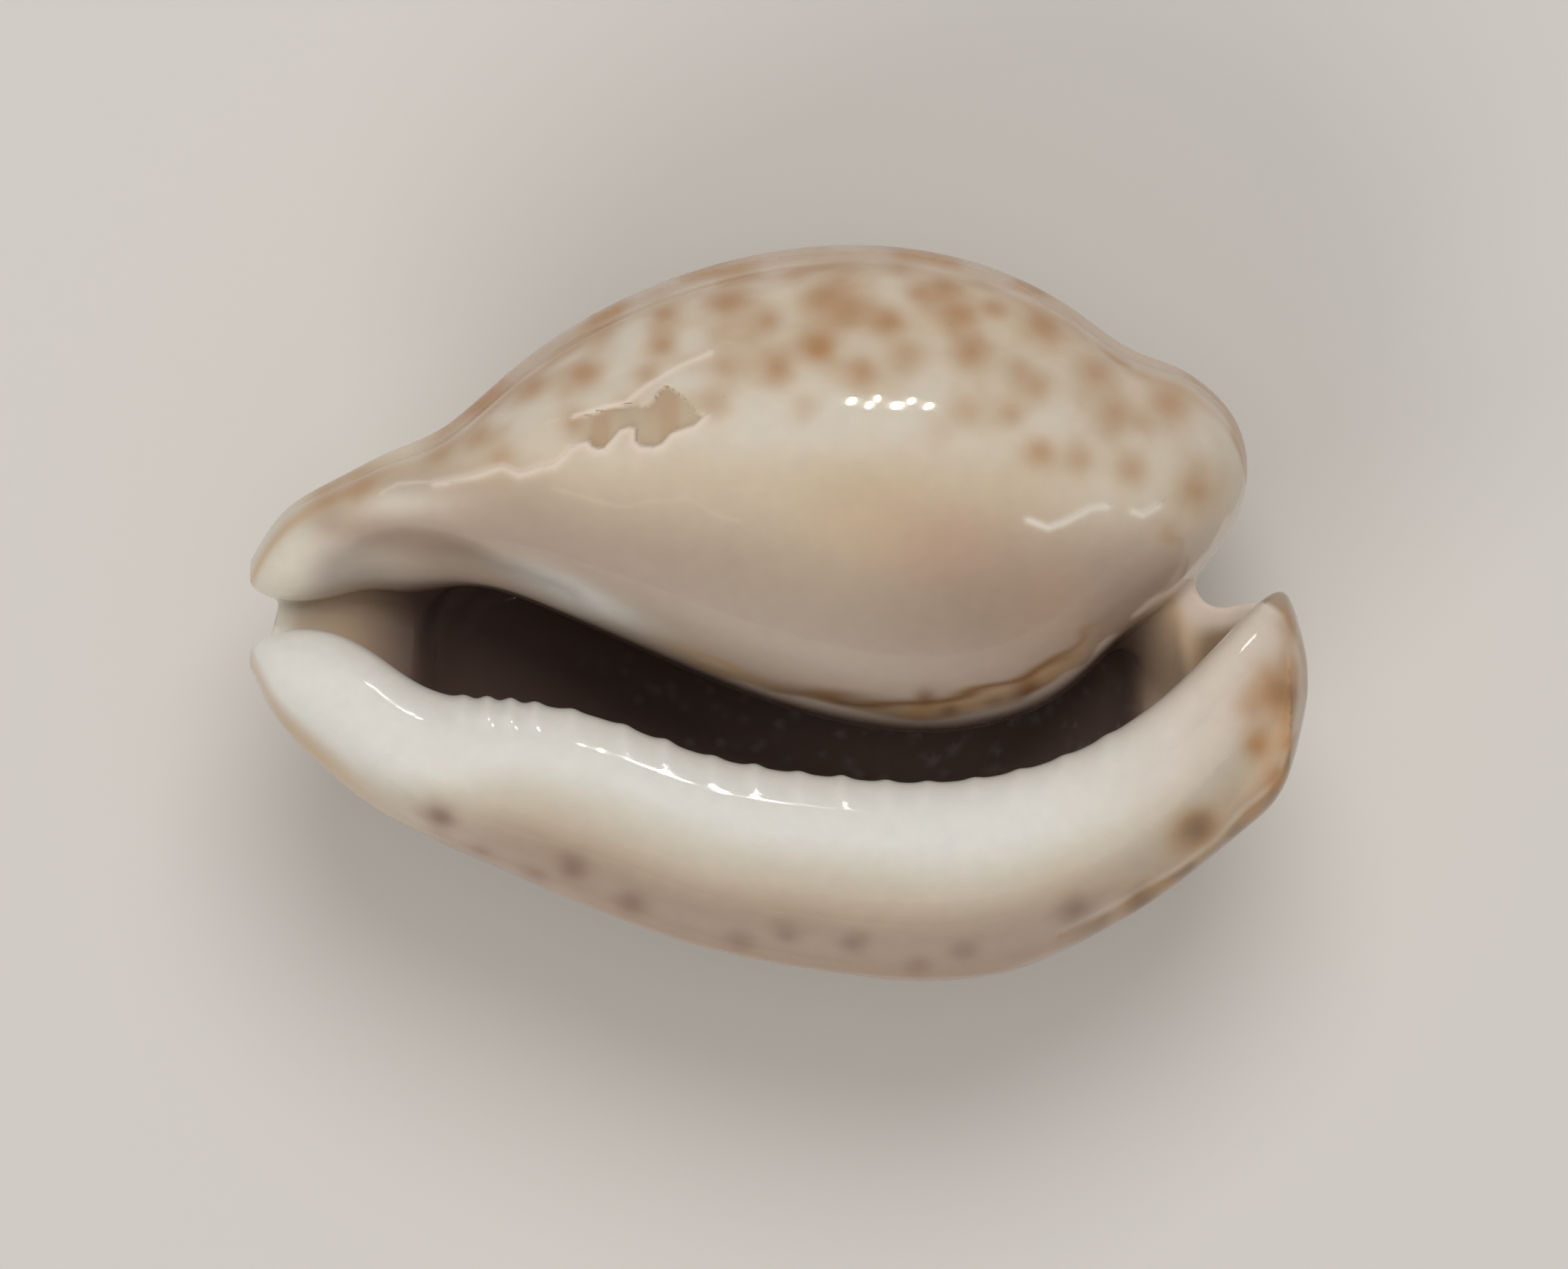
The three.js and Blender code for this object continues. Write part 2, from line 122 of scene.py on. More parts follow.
LIP = {
    "tips": (-30, 30),
    "inner_edge": [
        (-30, -2.9), (-29.5, -1.7), (-28.8, -1.45), (-27, -1.2), (-25, -1.5), (-22.8, -2.6), (-20.1, -4.4),
        (-15.7, -5.3), (-10.8, -5.9), (-4.1, -8.2), (2.5, -9.35), (7, -9.7), (12.8, -9.2), (18.1, -7.3),
        (21.6, -4.9), (25.2, -1.4), (27.9, 1), (28.7, 0.9), (29.2, -0.1), (29.65, -1.5), (30, -3.9),
    ],
    "outer_edge": [
        (-30, -2.9), (-29.5, -4), (-28.8, -5.4), (-27, -7.6), (-25, -9.4), (-22.8, -11.1), (-17.9, -13.5),
        (-10.8, -16.5), (-4.1, -18.9), (2.5, -20.2), (7, -20.8), (12.8, -20.3), (18.1, -18.2),
        (21.6, -16.1), (26.5, -12.2), (28.7, -9.6), (29.65, -6.3), (30, -3.9),
    ],
    "crest": [
        (-30, 22.5), (-29.5, 24.2), (-27, 26), (-22.8, 27.1), (-15.7, 28), (2.5, 28.8), (12.8, 28.9),
        (21.6, 28.4), (26.5, 27.1), (28.7, 25.6), (29.65, 24), (30, 22.5),
    ],
    "margin": [
        (-30, 22.5), (-28.8, 21.6), (-20.1, 20), (-4.1, 19.2), (12.8, 19.1), (21.6, 19.6), (30, 22.5),
    ],
}
LIP_EDGE_RADIUS = 2.3
LIP_MIDDLE_RADIUS = 3.5
LIP_MARGIN_RADIUS = 3
LIP_EDGE_SHARE = 0.36
LIP_MIDDLE_SHARE = 0.34
LIP_MARGIN_SHARE = 0.3
LIP_MIDDLE_PLACE = 0.45
LIP_LEAST_WIDTH = 0.02
LIP_MARGIN_RISE = 2.6  # a little fuller than in the CAD model
LIP_ROUNDING = 2.5
LIP_FULL_WIDTH = 8
LIP_EDGE_DIP = 0.25
LIP_MIDDLE_FALL = 0.035
LIP_FALL_WIDTH = 5

# The fossula, a trough that is softer and more slanted than in the CAD model
FOSSULA_FROM = np.array((-22, -0.6, 27.2))
FOSSULA_TO = np.array((-14.5, -3.2, 25.5))
FOSSULA_RADIUS = 5
FOSSULA_ROUNDING = 0.8
FOSSULA_FRONT_ROUNDING = 3
FOSSULA_FRONT = (15, 21)  # how far ahead of the middle the front's rounding comes in

# The back's glaze laps over the whorl's margin and ends in a crease
LAP_WIDTH = 0.8
LAP_HEIGHT = 0.9
LAP_ROUNDING = 1.2
LAP_CREASE = 0.35

# The mesh: millimetres between the points of the first net, and how often it is evened out
NET_LOW = np.array((-31.0, -22.0, -1.0))
NET_HIGH = np.array((31.0, 22.0, 33.0))
NET_CELL = 0.6
EVENING_ROUNDS = 6
SLOPE_STEP = 0.02
LONGEST_MOVE = 0.4
LEAST_STEEPNESS = 0.05
FINE_REACH = 0.4  # how far from a detail's line the mesh is finest
RELIEF_REACH = 2.5  # how far a detail's relief reaches
FINER_ABOVE = 14  # above this height the mesh is finer, as the camera sees it
BLUNT_TIPS = (-29.9, 29.93)  # the two ends are cut here, close to the CAD model's ends
LEAST_UP = -0.1  # a face that points down more than this isn't seen by the camera
LINE_LOOK = 3  # how far from a line its distance is worked out
DETAIL_ABOVE = 19.5  # all fine detail is above this height
TEETH_SPAN = (-20, 21)  # from the first to the last tooth, for the finer mesh

# Weak teeth along the lip's inner edge: x and height
TEETH = [
    (-17.7, 0.2), (-16.4, 0.3), (-15.1, 0.3), (-13.7, 0.22), (-11.6, 0.14), (-8.6, 0.14), (-6.3, 0.18),
    (-3.6, 0.14), (-1.3, 0.18), (1.2, 0.14), (3.6, 0.18), (6.1, 0.14), (8.4, 0.12), (11, 0.12),
    (13.5, 0.12), (16, 0.1), (18.4, 0.1),
]
TOOTH_WIDTH = 0.5
TOOTH_FADE = (-1.6, -0.2)  # over the lip's inner edge
TOOTH_REACH = 3
TOOTH_HEIGHTS = (21, 25)

# Damage on the whorl: a flaked patch with a jagged lower lip, a crack, small chips and a growth line.
# The lip's crease runs behind the rear of the lip.
FLAKE_RIDGE = [
    (-11.5, 11.05), (-10.6, 11.3), (-9.6, 11.6), (-8.6, 11.8), (-8.1, 12.2), (-7.5, 12.7), (-6.8, 13.1),
    (-6, 13.6), (-5.2, 14), (-4.5, 14.3), (-3.9, 14.6),
]
FLAKE_HOLE = [
    (-10.6, 11.2), (-9.8, 11.45), (-9.1, 11.6), (-8.4, 11.75), (-7.5, 11.65), (-7, 12.05), (-6.8, 12.55),
    (-6.4, 12.8), (-6.1, 12.75), (-5.6, 12.4), (-5, 11.85), (-4.6, 11.3), (-4.2, 10.95), (-4.7, 10.45),
    (-5.3, 10.25), (-6, 10), (-6.55, 9.4), (-7, 9.2), (-7.7, 9.25), (-8.05, 9.55), (-8.05, 10.25),
    (-8.35, 10.35), (-8.9, 10.2), (-9.35, 9.65), (-9.8, 9.15), (-10.2, 9.1), (-10.55, 9.3),
    (-10.75, 9.55), (-11.2, 9.45), (-12.2, 9.3), (-12.2, 10.9),
]
FLAKE_OPEN_END = (-12, -10.4)  # where the hollow runs out to the left
FLAKE_DEPTH = 0.26
FLAKE_EDGE = 0.16
JAGGED_LIP = [
    (-19.3, 7.3), (-17.8, 7.6), (-16.8, 7.8), (-16.1, 8.05), (-15.5, 8.2), (-14.9, 7.95), (-14.6, 7.8),
    (-14.1, 7.9), (-13.4, 8.15), (-12.6, 8.3), (-12.1, 8.75), (-11.7, 9.2), (-11.2, 9.45), (-10.75, 9.55),
    (-10.55, 9.3), (-10.2, 9.1), (-9.8, 9.15), (-9.35, 9.65), (-8.9, 10.2), (-8.35, 10.35),
    (-8.05, 10.25), (-8.05, 9.55), (-7.7, 9.25), (-7, 9.2), (-6.55, 9.4), (-6, 10), (-5.3, 10.25),
    (-4.7, 10.45), (-4.2, 10.95),
]
GROWTH_LINE = [
    (-12.7, 7), (-11.5, 6.7), (-10.3, 6.3), (-9.1, 6), (-8.3, 6), (-7.4, 6.25), (-6, 6.3), (-5.2, 6.5),
    (-4.3, 6), (-3.2, 5.4), (-2.1, 5.15),
]
FRONT_CRACK = [(-22.4, 6.8), (-21.5, 7.3), (-20.3, 7.4), (-18.7, 7.3)]
REAR_CHIPS = [
    [(14.1, 5.2), (15.15, 4.8), (16, 5.1), (17, 5.6), (17.5, 5.9), (18.4, 6)],
    [(20, 5.7), (20.5, 5.55), (21.3, 6)],
]
LIP_CREASE = [
    (27.6, 0.3), (28.4, -0.3), (29.1, -1.6), (29.5, -3.2), (29.55, -4.8), (29.2, -6.6), (28.6, -7.7),
    (28.2, -9.1), (27.5, -10), (26.1, -11.2), (24.7, -12.8), (22.5, -14.5), (19.4, -16.4), (16, -18.2),
]
LIP_CREASE_DEPTH = 0.1
LIP_CREASE_WIDTH = 0.22
CREASE_BAND = 4  # width of the darker band beyond the crease
UPPER_SIDE = (20.5, 22)  # heights over which the damage comes in
EDGE_BLEND = 0.1  # how far a broken edge rises on both sides of its line

# Broken edges: the line, how high it stands up, and how fast that fades
STEPS = [
    (JAGGED_LIP, 0.1, 0.8), (FLAKE_RIDGE[::-1], 0.06, 0.7), (GROWTH_LINE, 0.025, 0.4),
    (FRONT_CRACK, 0.05, 0.4), (REAR_CHIPS[0][::-1], 0.07, 0.3), (REAR_CHIPS[1][::-1], 0.07, 0.3),
]

# Colours are given as the screen shows them, from 0 to 255
CREAM = (222, 208, 186)
WARM_CREAM = (217, 196, 168)
PALE_CREAM = (235, 229, 216)
LILAC = (186, 165, 150)
GREY_BEIGE = (190, 175, 158)
PINK = (206, 174, 153)
RIM_PINK = (204, 190, 180)
BODY_SHADE = (140, 118, 100)
LIP_WHITE = (240, 240, 235)
LIP_PINK = (224, 208, 194)
LIP_CREAM = (216, 206, 189)
LIP_BEIGE = (200, 183, 164)
LIP_LILAC = (183, 158, 140)
# brown of the inside, darkened with painted shade
INSIDE_BROWN_AND_SHADE = (112, 92, 85)
INSIDE_PALE = (190, 166, 156)
# tan of the canals and their rims, lightened with painted light
LIT_CANAL_TAN = (228, 202, 172)
LIT_CANAL_RIM = (220, 204, 184)
# painted shade over the rear canal
REAR_CANAL_SHADE = (165, 142, 116)
LAP_BEIGE = (206, 186, 170)
SPOT_BROWN = (190, 144, 98)
SPOT_HALO = (222, 196, 160)
BAND_GREY = (160, 136, 110)
BAND_BROWN = (112, 82, 58)
SPOT_PURPLE = (142, 108, 90)
STREAK_BROWN = (134, 98, 68)
STREAK_ORANGE = (205, 164, 112)
STREAK_RIM = (236, 220, 206)
FLAKE_TAN = (206, 188, 164)
# pale broken edge, with a painted highlight on it
BROKEN_EDGE_AND_HIGHLIGHT = (246, 232, 218)
# white of the chips, partly a painted highlight where they catch the light
CHIP_WHITE_AND_HIGHLIGHT = (246, 240, 228)
BACK_CREAM = (214, 196, 168)
BACK_BROWN = (118, 82, 54)
BACK_GREY = (176, 164, 152)

# Spots as (x, y, radius, strength), on what the camera sees of the shell
SPOT_SINK = 0.45  # a spot on a steep side is this much shorter than its shadow would be
SPOT_CORE = 0.95  # reach of a spot's core and of its halo, in radii
SPOT_HALO_REACH = 1.8
CORE_STRENGTH = 0.95
HALO_STRENGTH = 0.7
SPOT_LOOK = 0.6  # a spot's height is that of the upper points this near to its middle
SPOT_LOOK_DOWN = 1.5
WHORL_SPOT_SPREAD = 1.35  # how much larger the whorl's and the lip's spots are painted
LIP_SPOT_SPREAD = 1.2
DARK_SPOTS = [(28.8, -4.7, 0.9, 0.5), (23.6, -12.3, 0.8, 0.7), (20.7, -16.7, 1, 0.9)]
WHORL_SPOTS = [
    (-25.6, 6.6, 0.7, 0.8), (-23.6, 7.6, 0.9, 0.9), (-19.2, 9.2, 0.9, 1), (-17, 10, 0.8, 0.8),
    (-15.6, 8.6, 0.6, 0.5), (-14, 12.9, 1, 1), (-11, 13.5, 0.8, 0.9), (-11.4, 10.6, 0.8, 0.7),
    (-8.6, 11, 0.7, 0.6), (-6.4, 11.1, 0.8, 0.5), (-10.2, 16, 1, 0.9), (-6.5, 17, 0.9, 1),
    (-6.5, 15, 0.7, 0.8), (-7.4, 13.4, 0.7, 0.6), (-2.9, 17.6, 1.2, 1), (-0.6, 16.4, 0.8, 0.8),
    (-3, 13.8, 0.9, 0.6), (-3.8, 11.8, 0.9, 0.5), (-0.1, 13.7, 0.9, 0.8), (1, 19.3, 0.6, 0.7),
    (3.8, 19.7, 0.8, 0.8), (6.9, 19.7, 0.8, 0.8), (2.6, 17.8, 0.9, 0.9), (4, 17.1, 0.9, 0.8),
    (2.3, 14.9, 1, 1), (4.7, 13.5, 0.9, 0.8), (6.2, 16.4, 0.9, 0.9), (7.3, 14.4, 0.9, 0.6),
    (8, 18, 0.8, 0.8), (9.4, 18.5, 0.9, 1), (10.2, 16.8, 1.1, 0.9), (10.8, 14.6, 1, 0.8),
    (12.2, 17.2, 0.7, 0.8), (15, 16.4, 1.1, 1), (18, 13.6, 1.1, 0.8), (19, 11.3, 1.1, 0.7),
    (19.8, 8, 0.7, 0.6), (13.5, 13.6, 0.8, 0.6), (14.5, 12.7, 0.8, 0.6), (13.1, 11.1, 0.7, 0.6),
    (14.7, 9, 0.8, 0.7), (16.9, 8.6, 0.7, 0.6), (10.6, 11.3, 0.8, 0.5), (9, 10.1, 0.9, 0.25),
    (1.4, 11.3, 0.7, 0.3), (22.1, 11.9, 1.4, 0.8), (23.7, 6.8, 0.9, 0.7), (22, 4.3, 0.5, 0.4),
]
STREAK_BLOTCHES = [
    (8.3, -4.9, 0.6, 0.8), (9.7, -5.6, 0.6, 0.7), (12.2, -5.3, 0.5, 0.6), (14.2, -4.5, 0.8, 0.9),
]
LIP_SPOTS = [
    (28.9, -3.3, 0.9, 0.8), (28.6, -4.6, 1.1, 1), (27.6, -4.7, 1, 0.8), (26.6, -5.2, 0.9, 0.6),
    (28.6, -6, 0.9, 0.7), (27, -7.55, 0.85, 1), (23.7, -12.1, 1, 1), (23.1, -12.6, 0.9, 0.9),
    (28.9, -7.3, 0.7, 1), (28.2, -9.4, 0.8, 0.9), (26.9, -11.3, 0.7, 0.6), (20.7, -16.7, 1.1, 1),
    (22.1, -15.8, 0.8, 0.8), (29.2, -0.6, 0.8, 0.9),
]
MARGIN_SPOTS = [  # on the lip's steep margin
    (16.8, -16.9, 1, 0.9), (0.4, -18.3, 0.8, 0.8), (4.2, -18.8, 0.8, 0.8), (10.5, -19.2, 0.8, 0.7),
    (7.9, -20, 0.7, 0.6), (-19.1, -11.7, 0.9, 1), (-16.9, -13.6, 0.7, 0.6), (-11.6, -14.5, 0.9, 0.9),
    (-13.8, -15, 0.8, 0.6), (-8.3, -16.4, 0.9, 0.9), (-2.2, -18.6, 0.8, 0.7),
]

# The hidden back's spots are scattered evenly: the seed, the box they are drawn in, and their sizes
BACK_SEED = 21
BACK_BOX = (-28, -20, 0), (28, 20, 20)
BACK_TRIES = 60000
BACK_NEAR = 0.25  # how close to the surface a drawn place has to be
BACK_RADII = (0.7, 1.7)
BACK_CROWDING = 0.95  # least distance between two spots, as a share of their radii
BACK_HALO_REACH = 1.4

# Soft patches on the whorl: colour, strength, x, y, and the reach along x and y
WHORL_PATCHES = [
    (GREY_BEIGE, 0.8, 2, 0.5, 9, 3.4), (WARM_CREAM, 0.8, 5, 5, 5, 2.8), (PINK, 0.75, 9.2, 3.8, 3.6, 2.4),
    (PINK, 0.7, 16, -0.2, 4.5, 3.2), (LILAC, 0.8, 20.5, 1.5, 3, 3),
]

# Pale lines along the damage: line, colour, reach and strength. On the broken edges and chips the white is
# partly a painted highlight, where the edge faces the light.
PAINTED_EDGES = [
    (JAGGED_LIP, BROKEN_EDGE_AND_HIGHLIGHT, 0.28, 0.8), (FLAKE_RIDGE, BROKEN_EDGE_AND_HIGHLIGHT, 0.18, 0.8),
    (GROWTH_LINE, CREAM, 0.12, 0.4), (FRONT_CRACK, BROKEN_EDGE_AND_HIGHLIGHT, 0.12, 0.5),
    (REAR_CHIPS[0], CHIP_WHITE_AND_HIGHLIGHT, 0.22, 0.9), (REAR_CHIPS[1], CHIP_WHITE_AND_HIGHLIGHT, 0.22, 0.9),
]
PAINTED_EDGE_SHIFT = 0.08  # towards the side that stands up

# Where the colours lie, in millimetres. A stretch (low, high) is where a colour comes in or fades out. A
# patch has its middle and its reach along both directions. Those along the columella's edge are measured
# above it first, and along x second.
LILAC_LINE = 8.2  # y where lilac begins, at the middle of the shell, and how it changes with x
LILAC_SLOPE = -0.1
LILAC_FADE = (0, 5.5)
PALE_BULB = (19.5, 9, 4, 5)
SHADED_BODY = (12.5, 0.2, 7, 3.6)
SPOT_HAZE = (9, 17, 9, 3)
PALE_UPPER_FADE = (7, 11)
PALE_ABOVE_FLAKE = (-5.2, 12.9, 1.1, 0.7)
PINK_RIM = (3.1, 3, 1.6, 12)
STREAK_STRETCH = (0.35, 1.6, 1)
STREAK_STARTS = (-3, 4)
STREAK_ENDS = (14.5, 19)
STREAK_LINE = 0.95  # how far the brown streak is above the edge, at the middle of the shell
STREAK_SLOPE = 0.085
ORANGE_STARTS = (0.5, 0.9)
FRONT_STREAK = (0.9, -3.5, 0.4, 3)
PALE_RIM_WIDTH = 0.95
PALE_RIM_STARTS = (-6, 2)
FRONT_FADE = (-26, -15)
FRONT_SLANT = -0.2  # slope of the line through the middle of the shell below which the front end is white
FOSSULA_PAINTED_LIGHT = (1.5, -11.5, 0.9, 4)
PALE_TIP_FADE = (-27.5, -25)
PALE_FRONT = (-21.8, 6.3, 3.5, 1)
ORANGE_EDGE_FADE = (-22, -17)
ORANGE_EDGE_GAP = 1.1
LAP_STARTS = (-22, -17)
LAP_BLUR = 0.25
LAP_STAIN_GAP = 0.45
FLAKE_STRETCH = (1, 0.3, 0.3)
LIP_FRONT = (13, 25)
LIP_REAR = (13, 26)
LIP_BANDS = [  # as shares of the lip's width from its inner edge
    (LIP_CREAM, (0.27, 0.57)), (LIP_BEIGE, (0.5, 0.72)), (LIP_LILAC, (0.65, 0.85)),
]
REAR_ORANGE_FADE = (0.35, 0.7)
FRONT_MARGIN = (20, 27)
FRONT_MARGIN_WIDTH = 1.9
CREASE_STARTS = (15, 21)
CREASE_EDGE_STARTS = (16, 20)
CREASE_BAND_HEIGHTS = (17, 20.5)
FRONT_CANAL = (20, 26.5)
REAR_CANAL_FLOOR = (19.5, 23)
CANAL_HEIGHTS = (7, 16)
FRONT_CANAL_RIM = (24, 28)
REAR_CANAL_RIM = (24.5, 27)
CANAL_RIM_HEIGHTS = (14, 20)
REAR_CANAL_END = (23, 24.5)
PALE_INSIDE = (7, -8, 10, 6)
SPECKLED_INSIDE = (6, -9, 12, 6)
INSIDE_DEPTHS = (0.7, 1.8)
INSIDE_TOP = 22.3
INSIDE_FADE = 2.2
BACK_DEPTHS = (0.4, 1)
BACK_TOP = 19.6
BACK_FADE = 2.6

# The camera looks straight down. The photo is PHOTO_WIDTH by PHOTO_HEIGHT pixels, PHOTO_SCALE to the
# millimetre, and the middle of the shell's box is at PHOTO_MIDDLE in it.
PHOTO_WIDTH = 2145
PHOTO_HEIGHT = 1736
PHOTO_SCALE = 24.13
PHOTO_MIDDLE = (1065, 837)
CAMERA_HEIGHT = 0.9
CAMERA_AIM = 0.0155  # the height that the camera and the lamps look at
SCALE_HEIGHT = 0.021  # the height at which the photo's scale holds
SENSOR_WIDTH = 36

# Lamps, in metres
KEY_LAMPS = [  # place across and up the photo, and width
    (0.06, 0.55, 0.004), (0.085, 0.52, 0.003), (0.105, 0.59, 0.003), (0.135, 0.54, 0.01),
    (0.17, 0.6, 0.004), (0.2, 0.57, 0.006),
]
KEY_HEIGHT = 0.6
KEY_LENGTH = 0.05
KEY_POWER = 32  # watts for each metre of width
SOFT_LAMPS = {  # place, diameter and watts
    "soft_lamp": ((0.05, 0.45, 0.9), 0.5, 3.6),
    "top_lamp": ((0, 0, 1.2), 0.5, 0.8),
    "fill_lamp": ((-0.4, -0.7, 0.7), 0.6, 2.9),
}
LAMP_COLOUR = (1, 0.96, 0.91)
AIR_COLOUR = (1, 0.97, 0.93, 1)
AIR_STRENGTH = 0.28
FLOOR_COLOUR = (0.8, 0.79, 0.77, 1)
FLOOR_ROUGHNESS = 0.8
FLOOR_REACH = 3  # metres from the middle to each side

# The glaze. Noise scales are in repeats per metre.
GLAZE_SPECULAR = 0.5
GLAZE_SUBSURFACE = 0.15
GLAZE_DEPTH = 0.001
MOTTLE_SCALE = 900
MOTTLE_DETAIL = 4
MOTTLE_RANGE = (0.93, 1.05)
WEAR_SCALE = 150
WEAR_DETAIL = 3
ROUGHNESS_RANGE = (0.03, 0.07)
RIPPLE_STRENGTH = 0.08
RIPPLE_HEIGHT = 0.0002


def smoothstep(value, low, high):
    share = np.clip((value - low) / (high - low), 0, 1)
    return share * share * (3 - 2 * share)


def smooth_curve(points):
    """A natural cubic spline, read from a fine table of its values."""
    xs, values = (np.array(column, float) for column in zip(*points))
    spans = np.diff(xs)
    matrix = np.eye(len(xs))
    right = np.zeros(len(xs))
    for i in range(1, len(xs) - 1):
        matrix[i, i - 1:i + 2] = spans[i - 1], 2 * (spans[i - 1] + spans[i]), spans[i]
        rise_after = (values[i + 1] - values[i]) / spans[i]
        rise_before = (values[i] - values[i - 1]) / spans[i - 1]
        right[i] = 6 * (rise_after - rise_before)
    bend = np.linalg.solve(matrix, right)
    table = np.linspace(xs[0], xs[-1], CURVE_SAMPLES)
    i = np.clip(np.searchsorted(xs, table) - 1, 0, len(xs) - 2)
    a, b = (xs[i + 1] - table) / spans[i], (table - xs[i]) / spans[i]
    sag = ((a**3 - a) * bend[i] + (b**3 - b) * bend[i + 1]) * spans[i] ** 2 / 6
    read = a * values[i] + b * values[i + 1] + sag
    return lambda x: np.interp(x, table, read)


class Body:
    """Round sections across x between two tips. Its curves are splined over the angle whose sine is x's
    place between the tips."""

    def __init__(self, curves):
        first, last = curves["tips"]
        self.middle = (first + last) / 2
        self.reach = (last - first) / 2
        self.curves = {}
        for name, points in curves.items():
            if name != "tips":
                angles = [(math.asin(self.place(x)), value) for x, value in points]
                self.curves[name] = smooth_curve(angles)

    def place(self, x):
        return (x - self.middle) / self.reach

    def at(self, name, x):
        return self.curves[name](np.arcsin(np.clip(self.place(x), -TIP_PLACE, TIP_PLACE)))

    def section(self, x, inset):
        opening = np.sqrt(1 - np.clip(self.place(x), -TIP_PLACE, TIP_PLACE) ** 2)
        upper = self.at("upper_edge", x) - inset * opening
        lower = self.at("lower_edge", x)
        equator, bottom = self.at("equator", x), self.at("bottom", x)
        top = self.at("top", x) if "top" in self.curves else 2 * equator - bottom
        half = (upper - lower) / 2 / opening
        heights = (top - equator) / opening, (equator - bottom) / opening
        return self.place(x), (upper + lower) / 2, equator, half, heights, self.at("lean", x)

    def distance(self, x, y, z, inset=0.0):
        """Roughly the distance to the surface, whose upper edge is moved in by the inset."""
        def parts(section):
            place, middle, equator, half, (above, below), lean = section
            tall = np.where(z > equator, above, below)
            height = (z - equator) / tall
            sink = np.clip(-height, 0, 1)
            across = (y - middle - lean * sink * sink) / half
            return np.sqrt(place**2 + across**2 + height**2) + TINY, tall, height, sink, across

        here = self.section(x, inset)
        half, lean = here[3], here[5]
        share, tall, height, sink, across = parts(here)
        ahead = parts(self.section(x + SLOPE_STEP, inset))[0]
        behind = parts(self.section(x - SLOPE_STEP, inset))[0]
        leaning = across * lean * 2 * sink / half * (1 - smoothstep(-height, *LEAN_ENDS))
        slope_x = (ahead - behind) / (2 * SLOPE_STEP)
        slope_y = across / half / share
        slope_z = (height + leaning) / tall / share
        return (share - 1) / np.sqrt(slope_x**2 + slope_y**2 + slope_z**2 + TINY)


whorl_body = Body(WHORL)
outside_body = Body(OUTSIDE)
lip_body = Body(LIP)


def join(a, b, width):
    near = np.maximum(width - np.abs(a - b), 0) / width
    return np.minimum(a, b) - near * near * width / 4


def common(a, b, width):
    return -join(-a, -b, width)


def bar_distance(y, z, first, last):
    """Distance to a bar between two round ends (y, z, radius) in a section."""
    y1, z1, radius1 = first
    y2, z2, radius2 = last
    dy, dz = y2 - y1, z2 - z1
    t = np.clip(((y - y1) * dy + (z - z1) * dz) / (dy * dy + dz * dz + TINY), 0, 1)
    return np.hypot(y - y1 - t * dy, z - z1 - t * dz) - (radius1 + t * (radius2 - radius1))


def lip_distance(x, y, z):
    inner, outer = lip_body.at("inner_edge", x), lip_body.at("outer_edge", x)
    crest, margin = lip_body.at("crest", x), lip_body.at("margin", x)
    wide = np.maximum(inner - outer, LIP_LEAST_WIDTH)
    edge_radius = np.minimum(LIP_EDGE_RADIUS, wide * LIP_EDGE_SHARE)
    middle_radius = np.minimum(LIP_MIDDLE_RADIUS, wide * LIP_MIDDLE_SHARE)
    margin_radius = np.minimum(LIP_MARGIN_RADIUS, wide * LIP_MARGIN_SHARE)
    fullness = np.minimum(1, wide / LIP_FULL_WIDTH)
    fall = LIP_MIDDLE_FALL * np.maximum(wide - LIP_FALL_WIDTH, 0)
    rise = LIP_MARGIN_RISE * margin_radius / LIP_MARGIN_RADIUS
    edge_end = inner - edge_radius, crest - edge_radius - LIP_EDGE_DIP * fullness, edge_radius
    middle_end = inner - LIP_MIDDLE_PLACE * wide, crest - middle_radius - fall, middle_radius
    margin_end = outer + margin_radius, margin + rise, margin_radius
    section = join(
        bar_distance(y, z, edge_end, middle_end), bar_distance(y, z, middle_end, margin_end),
        LIP_ROUNDING * fullness,
    )
    return section + np.maximum(np.abs(lip_body.place(x)) - TIP_PLACE, 0) * lip_body.reach


def fossula_distance(x, y, z):
    line = FOSSULA_TO - FOSSULA_FROM
    dx, dy, dz = x - FOSSULA_FROM[0], y - FOSSULA_FROM[1], z - FOSSULA_FROM[2]
    t = np.clip((dx * line[0] + dy * line[1] + dz * line[2]) / (line @ line), 0, 1)
    dx, dy, dz = dx - t * line[0], dy - t * line[1], dz - t * line[2]
    return np.sqrt(dx**2 + dy**2 + dz**2) - FOSSULA_RADIUS


def whorl_distance(x, y, z):
    """The last whorl, with the back's glaze lapping over its margin."""
    glaze = common(
        whorl_body.distance(x, y, z), z - whorl_body.at("equator", x) - LAP_HEIGHT, LAP_ROUNDING
    )
    lapped = join(whorl_body.distance(x, y, z, LAP_WIDTH), glaze, LAP_CREASE)
    to_front = smoothstep(-x, *FOSSULA_FRONT)
    rounding = FOSSULA_ROUNDING + (FOSSULA_FRONT_ROUNDING - FOSSULA_ROUNDING) * to_front
    return common(lapped, -fossula_distance(x, y, z), rounding)


